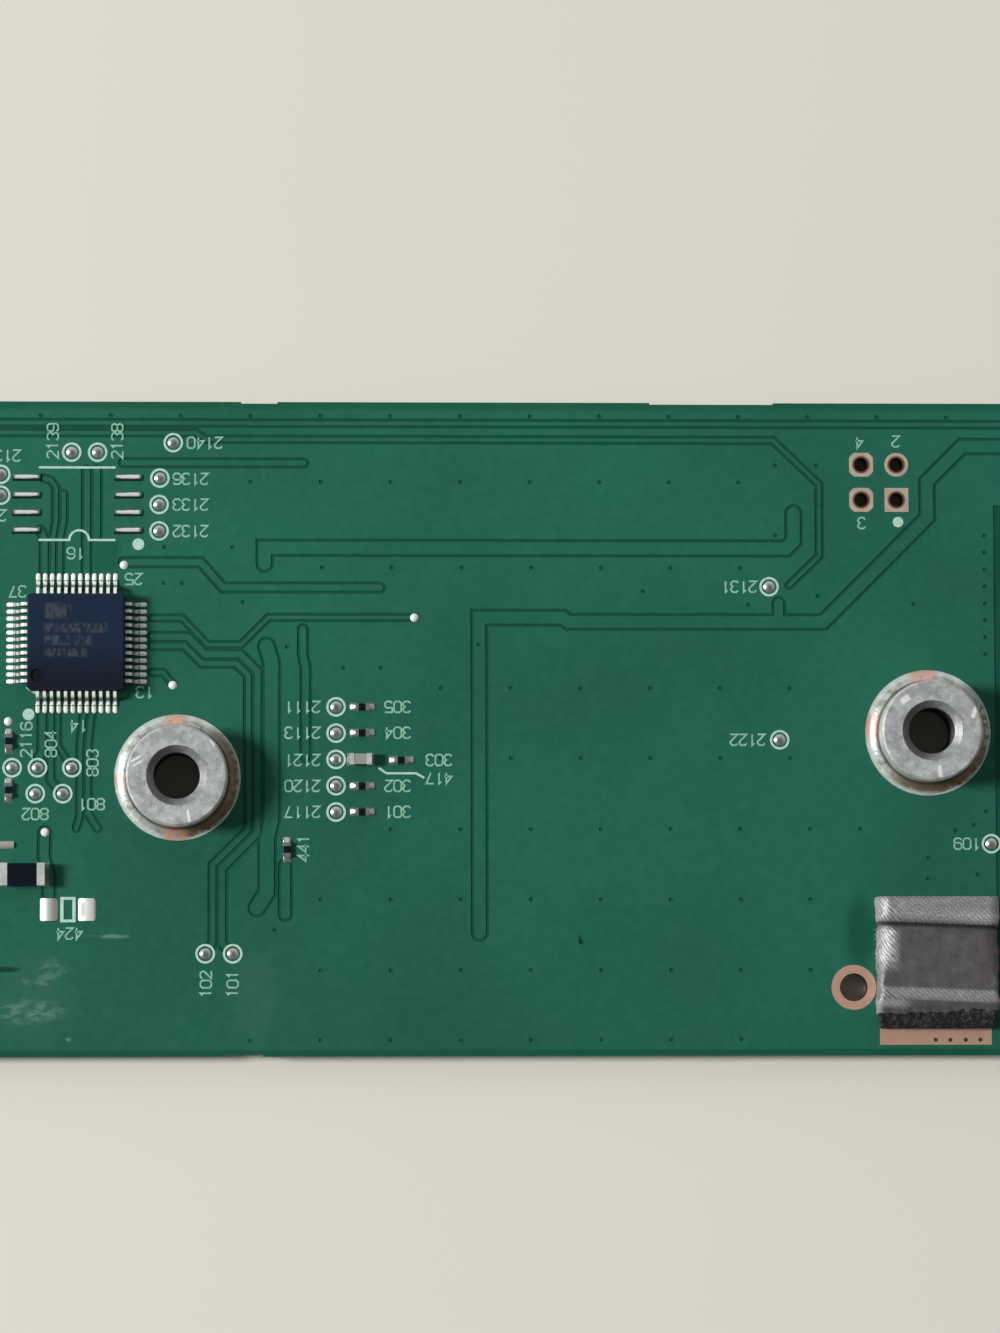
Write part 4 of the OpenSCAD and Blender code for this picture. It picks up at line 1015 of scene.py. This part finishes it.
    def core(self, look):
        """Foam: the cross section inside the fabric carried on past the fabric's end, pitted by layered
        sines of its place, and closed at both ends by the section shrunk to the middle of its base."""
        rows, columns, rings = 110, 170, 22
        inset = look.thickness + 0.01 * MM
        points, normal, _, _ = self.surface(rows, columns, 0.01 * MM, self.length - 0.06 * MM, inset)
        shrink = np.linspace(0, 1, rings + 2)[1:-1, None, None]
        heart = np.array([self.centre_x, 0, self.base])
        caps = []
        for edge in (points[:1], points[-1:]):
            cap = heart + (edge - heart) * shrink
            cap[..., 1] = edge[..., 1]
            caps.append(cap)
        sheet = np.concatenate([caps[0], points, caps[1][::-1]])
        back, front = (np.tile([0.0, sign, 0.0], (rings, columns, 1)) for sign in (1, -1))
        seen = np.clip((self.back - points[..., 1] - self.cloth_length + 0.2 * MM) / (0.3 * MM), 0, 1)
        depth = np.concatenate([np.full((rings, columns), 0.4), seen, np.full((rings, columns), 1.0)])
        pit = self.pits(sheet) * depth * 0.16 * MM
        sheet = sheet - np.concatenate([back, normal, front]) * pit[..., None]
        sheet[..., 2] = np.maximum(sheet[..., 2], self.base)
        hearts = [[self.centre_x, sheet[row, 0, 1], self.base] for row in (0, -1)]
        total = len(sheet) * columns
        left = np.arange(0, total, columns)
        right = left + columns - 1
        under = np.stack([left[:-1], right[:-1], right[1:], left[1:]], -1)
        fans = np.array([[total, right[0], left[0]], [total + 1, left[-1], right[-1]]]).tolist()
        for j in range(columns - 1):
            fans += [[j, j + 1, total], [total - columns + j + 1, total - columns + j, total + 1]]
        faces = [*np.concatenate([grid_faces(len(sheet), columns), under]).tolist(), *fans]
        points = np.concatenate([sheet.reshape(-1, 3), hearts])
        piece = add_piece("gasket_core", points, faces, self.foam_material(look), "foam")
        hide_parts("gasket_foam")

    def pits(self, points):
        """0 to 1: layered sines of the place, with a pitch of about a quarter of a millimetre and finer."""
        x, y, z = (points[..., axis] / MM for axis in range(3))
        coarse = np.sin(x * 9 + 2 * np.sin(y * 5)) * np.sin(y * 11 + 2 * np.sin(z * 7))
        coarse = coarse * np.sin(z * 8 + x * 3)
        fine = np.sin(x * 27 + y * 13) * np.sin(y * 31 + z * 17) * np.sin(z * 23 + x * 19)
        return 0.5 + 0.35 * coarse + 0.15 * fine

    def foam_material(self, look):
        shader = Shader("open_cell_foam", IOR=1.4, Specular_IOR_Level=0.2)
        place = shader.place()
        cell = shader.value("ShaderNodeTexVoronoi", {"feature": "F1"}, Vector=place, Scale=9.0)
        base = shader.tone(cell.rise(0.1, 0.6), look.foam, 0.35, 2.2)
        fibre = shader.noise(shader.stretched(place, (1.4, 0.9, 1)), 2.1, 5.0, 0.75).rise(0.48, 0.64)
        base = shader.mix(fibre * 0.6, base, times(look.rubbed, 1.2))
        shader.paint(Base_Color=base, Roughness=0.85 - 0.15 * cell)
        shader.emboss(cell, 0.08, 0.8)
        return shader.material

    def frays(self, look):
        """Loose threads along the fabric's left edge and front: a three-sided tube round a cubic arc each."""
        random = np.random.default_rng(SEED + 2)
        joints, sides = 6, 3
        t = np.linspace(0, 1, joints)[:, None]
        thick = 0.022 * MM * (1 - 0.6 * t)
        side = np.array([0.0, 0.0, 1.0])
        last = (joints - 1) * sides
        ends = [[2, 1, 0], [last, last + 1, last + 2]]
        faces = [*grid_faces(joints, sides, closed=True)[:, ::-1].tolist(), *ends]
        tubes = []
        for index in range(look.frays):
            if index % 3 == 0:
                x = random.uniform(-1, 1) * self.half * 0.94
                along = self.cloth_length - 0.1 * MM
                share = np.interp(self.cloth_length / MM, self.ALONG, self.SHARE)
                height = self.height * share - 0.1 * MM
                heading = np.array([random.uniform(-0.6, 0.6), -1, random.uniform(-0.5, 0.1)])
                length = random.uniform(0.08, 0.3) * MM
            else:
                x = 0.03 * MM - self.half
                along = random.uniform(0.1, 7.9) * MM
                share = np.interp(along / MM, self.ALONG, self.SHARE)
                height = self.height * share * random.uniform(0.2, 0.75)
                heading = np.array([-1, random.uniform(-0.7, 0.7), random.uniform(-0.3, 0.5)])
                length = random.uniform(0.06, 0.2) * MM
            root = np.array([self.centre_x + x, self.back - along, self.base + height])
            bend = random.uniform(-0.5, 0.5, 3) * length
            curl = random.uniform(-0.3, 0.3, 3) * length
            line = root + heading * t * length + bend * t**2 + curl * t**3
            line[:, 2] = np.maximum(line[:, 2], self.base + 0.03 * MM)
            other = np.cross(heading, side)
            other /= np.linalg.norm(other)
            ring = np.stack([math.cos(a) * side + math.sin(a) * other for a in (0, 2.094, 4.189)])
            tubes.append((line[:, None, :] + ring[None] * thick[..., None], faces))
        shader = Shader("loose_thread", Metallic=0.5, Roughness=0.4)
        tone = shader.noise(shader.place(), 6.0).rise(0.3, 0.7)
        shader.paint(Base_Color=shader.tone(tone, look.fabric, 0.5))
        add_piece("gasket_frays", *merged(tubes), shader.material, "metallised_fabric")


class BOARD_OT_tape(bpy.types.Operator):
    """Conductive tape under the gasket"""

    bl_idname = "board.tape"
    bl_label = "Tape"

    def execute(self, context):
        look = context.scene.board_gasket
        shader = Shader("adhesive_tape", IOR=1.45)
        grain = shader.noise(shader.place(), 5.0, 3.0)
        shader.paint(Base_Color=shader.mix(grain, look.foam, look.rubbed), Roughness=0.5 + 0.2 * grain)
        dress(shader.material, "gasket_tape")
        return {"FINISHED"}


# ---- stage


class BOARD_OT_stage(bpy.types.Operator):
    """Plain pale floor, one soft key light from the left with light from all round, and the camera"""

    bl_idname = "board.stage"
    bl_label = "Stage"

    def execute(self, context):
        look = context.scene.board_stage
        self.floor(look)
        self.light(look)
        self.camera(look)
        context.scene.view_settings.view_transform = "Standard"
        return {"FINISHED"}

    def floor(self, look):
        size, level = 1.5, -0.02 * MM
        corners = [(x * size, y * size, level) for x, y in ((-1, -1), (1, -1), (1, 1), (-1, 1))]
        mesh = bpy.data.meshes.new("floor")
        mesh.from_pydata(corners, [], [[0, 1, 2, 3]])
        shader = Shader("floor", IOR=1.3, Roughness=0.85)
        cloud = shader.noise(shader.place(), 0.02)
        shader.paint(Base_Color=shader.tone(cloud, look.floor, 0.97))
        mesh.materials.append(shader.material)
        floor = bpy.data.objects.new("floor", mesh)
        link(floor)

    def light(self, look):
        far = 1.4
        heading = Vector((-1, 0.08, 0.74)).normalized()
        lamp = bpy.data.lights.new("key", "AREA")
        lamp.shape = "DISK"
        lamp.size = 0.32
        lamp.energy = look.key * math.pi**2 * far**2 / heading.z
        key = bpy.data.objects.new("key", lamp)
        key.location = heading * far
        key.rotation_mode = "QUATERNION"
        key.rotation_quaternion = heading.to_track_quat("Z", "Y")
        link(key)
        # A dim patch overhead, pale walls and a little more light from the back: about 1 on a level floor
        room = Room("room", Color=(1.0, 1.0, 1.0))
        _, y, z = room.parts(room.heading)
        room.paint(Strength=look.fill * (0.23 + 1.26 * z.rise(0.93, 0.6)) * (1 + 0.8 * y))
        bpy.context.scene.world = room.world

    def camera(self, look):
        eye, aim = Vector(look.eye), Vector(look.aim)
        forward = (aim - eye).normalized()
        right = forward.cross(Vector((look.roll, 1, 0))).normalized()
        up = right.cross(forward)
        data = bpy.data.cameras.new("camera")
        data.sensor_width = 36.0
        data.lens = data.sensor_width * (aim - eye).length / look.view_height
        data.clip_start, data.clip_end = 0.01, 10.0
        camera = bpy.data.objects.new("camera", data)
        camera.matrix_world = Matrix.Translation(eye) @ Matrix((right, up, -forward)).transposed().to_4x4()
        link(camera)
        bpy.context.scene.camera = camera


# ---- add-on


class BOARD_PT_panel(bpy.types.Panel):
    """Lists the steps that finish the board, with their sizes and colours"""

    bl_idname = "BOARD_PT_panel"
    bl_label = "Radio module board"
    bl_space_type = "VIEW_3D"
    bl_region_type = "UI"
    bl_category = "Board"

    def draw(self, context):
        for group, finish in GROUPS.items():
            box = self.layout.box()
            for name in finish.__annotations__:
                box.prop(getattr(context.scene, group), name)
        for operator in STEPS:
            self.layout.operator(operator.bl_idname)


GROUPS = {
    "board_mask": MaskFinish,
    "board_metal": MetalFinish,
    "board_parts": PartFinish,
    "board_print": PrintFinish,
    "board_gasket": GasketFinish,
    "board_stage": StageFinish,
}
STEPS = [
    BOARD_OT_stage, BOARD_OT_mask, BOARD_OT_copper, BOARD_OT_solder, BOARD_OT_package, BOARD_OT_chips,
    BOARD_OT_standoffs, BOARD_OT_print, BOARD_OT_gasket, BOARD_OT_tape,
]
CLASSES = [*GROUPS.values(), *STEPS, BOARD_PT_panel]


def register():
    for cls in CLASSES:
        bpy.utils.register_class(cls)
    for name, group in GROUPS.items():
        setattr(bpy.types.Scene, name, PointerProperty(type=group))


def unregister():
    for name in GROUPS:
        delattr(bpy.types.Scene, name)
    for cls in reversed(CLASSES):
        bpy.utils.unregister_class(cls)


def main():
    register()
    for step in STEPS:
        name = step.bl_idname.split(".")[1]
        getattr(bpy.ops.board, name)()


if __name__ == "__main__":
    main()
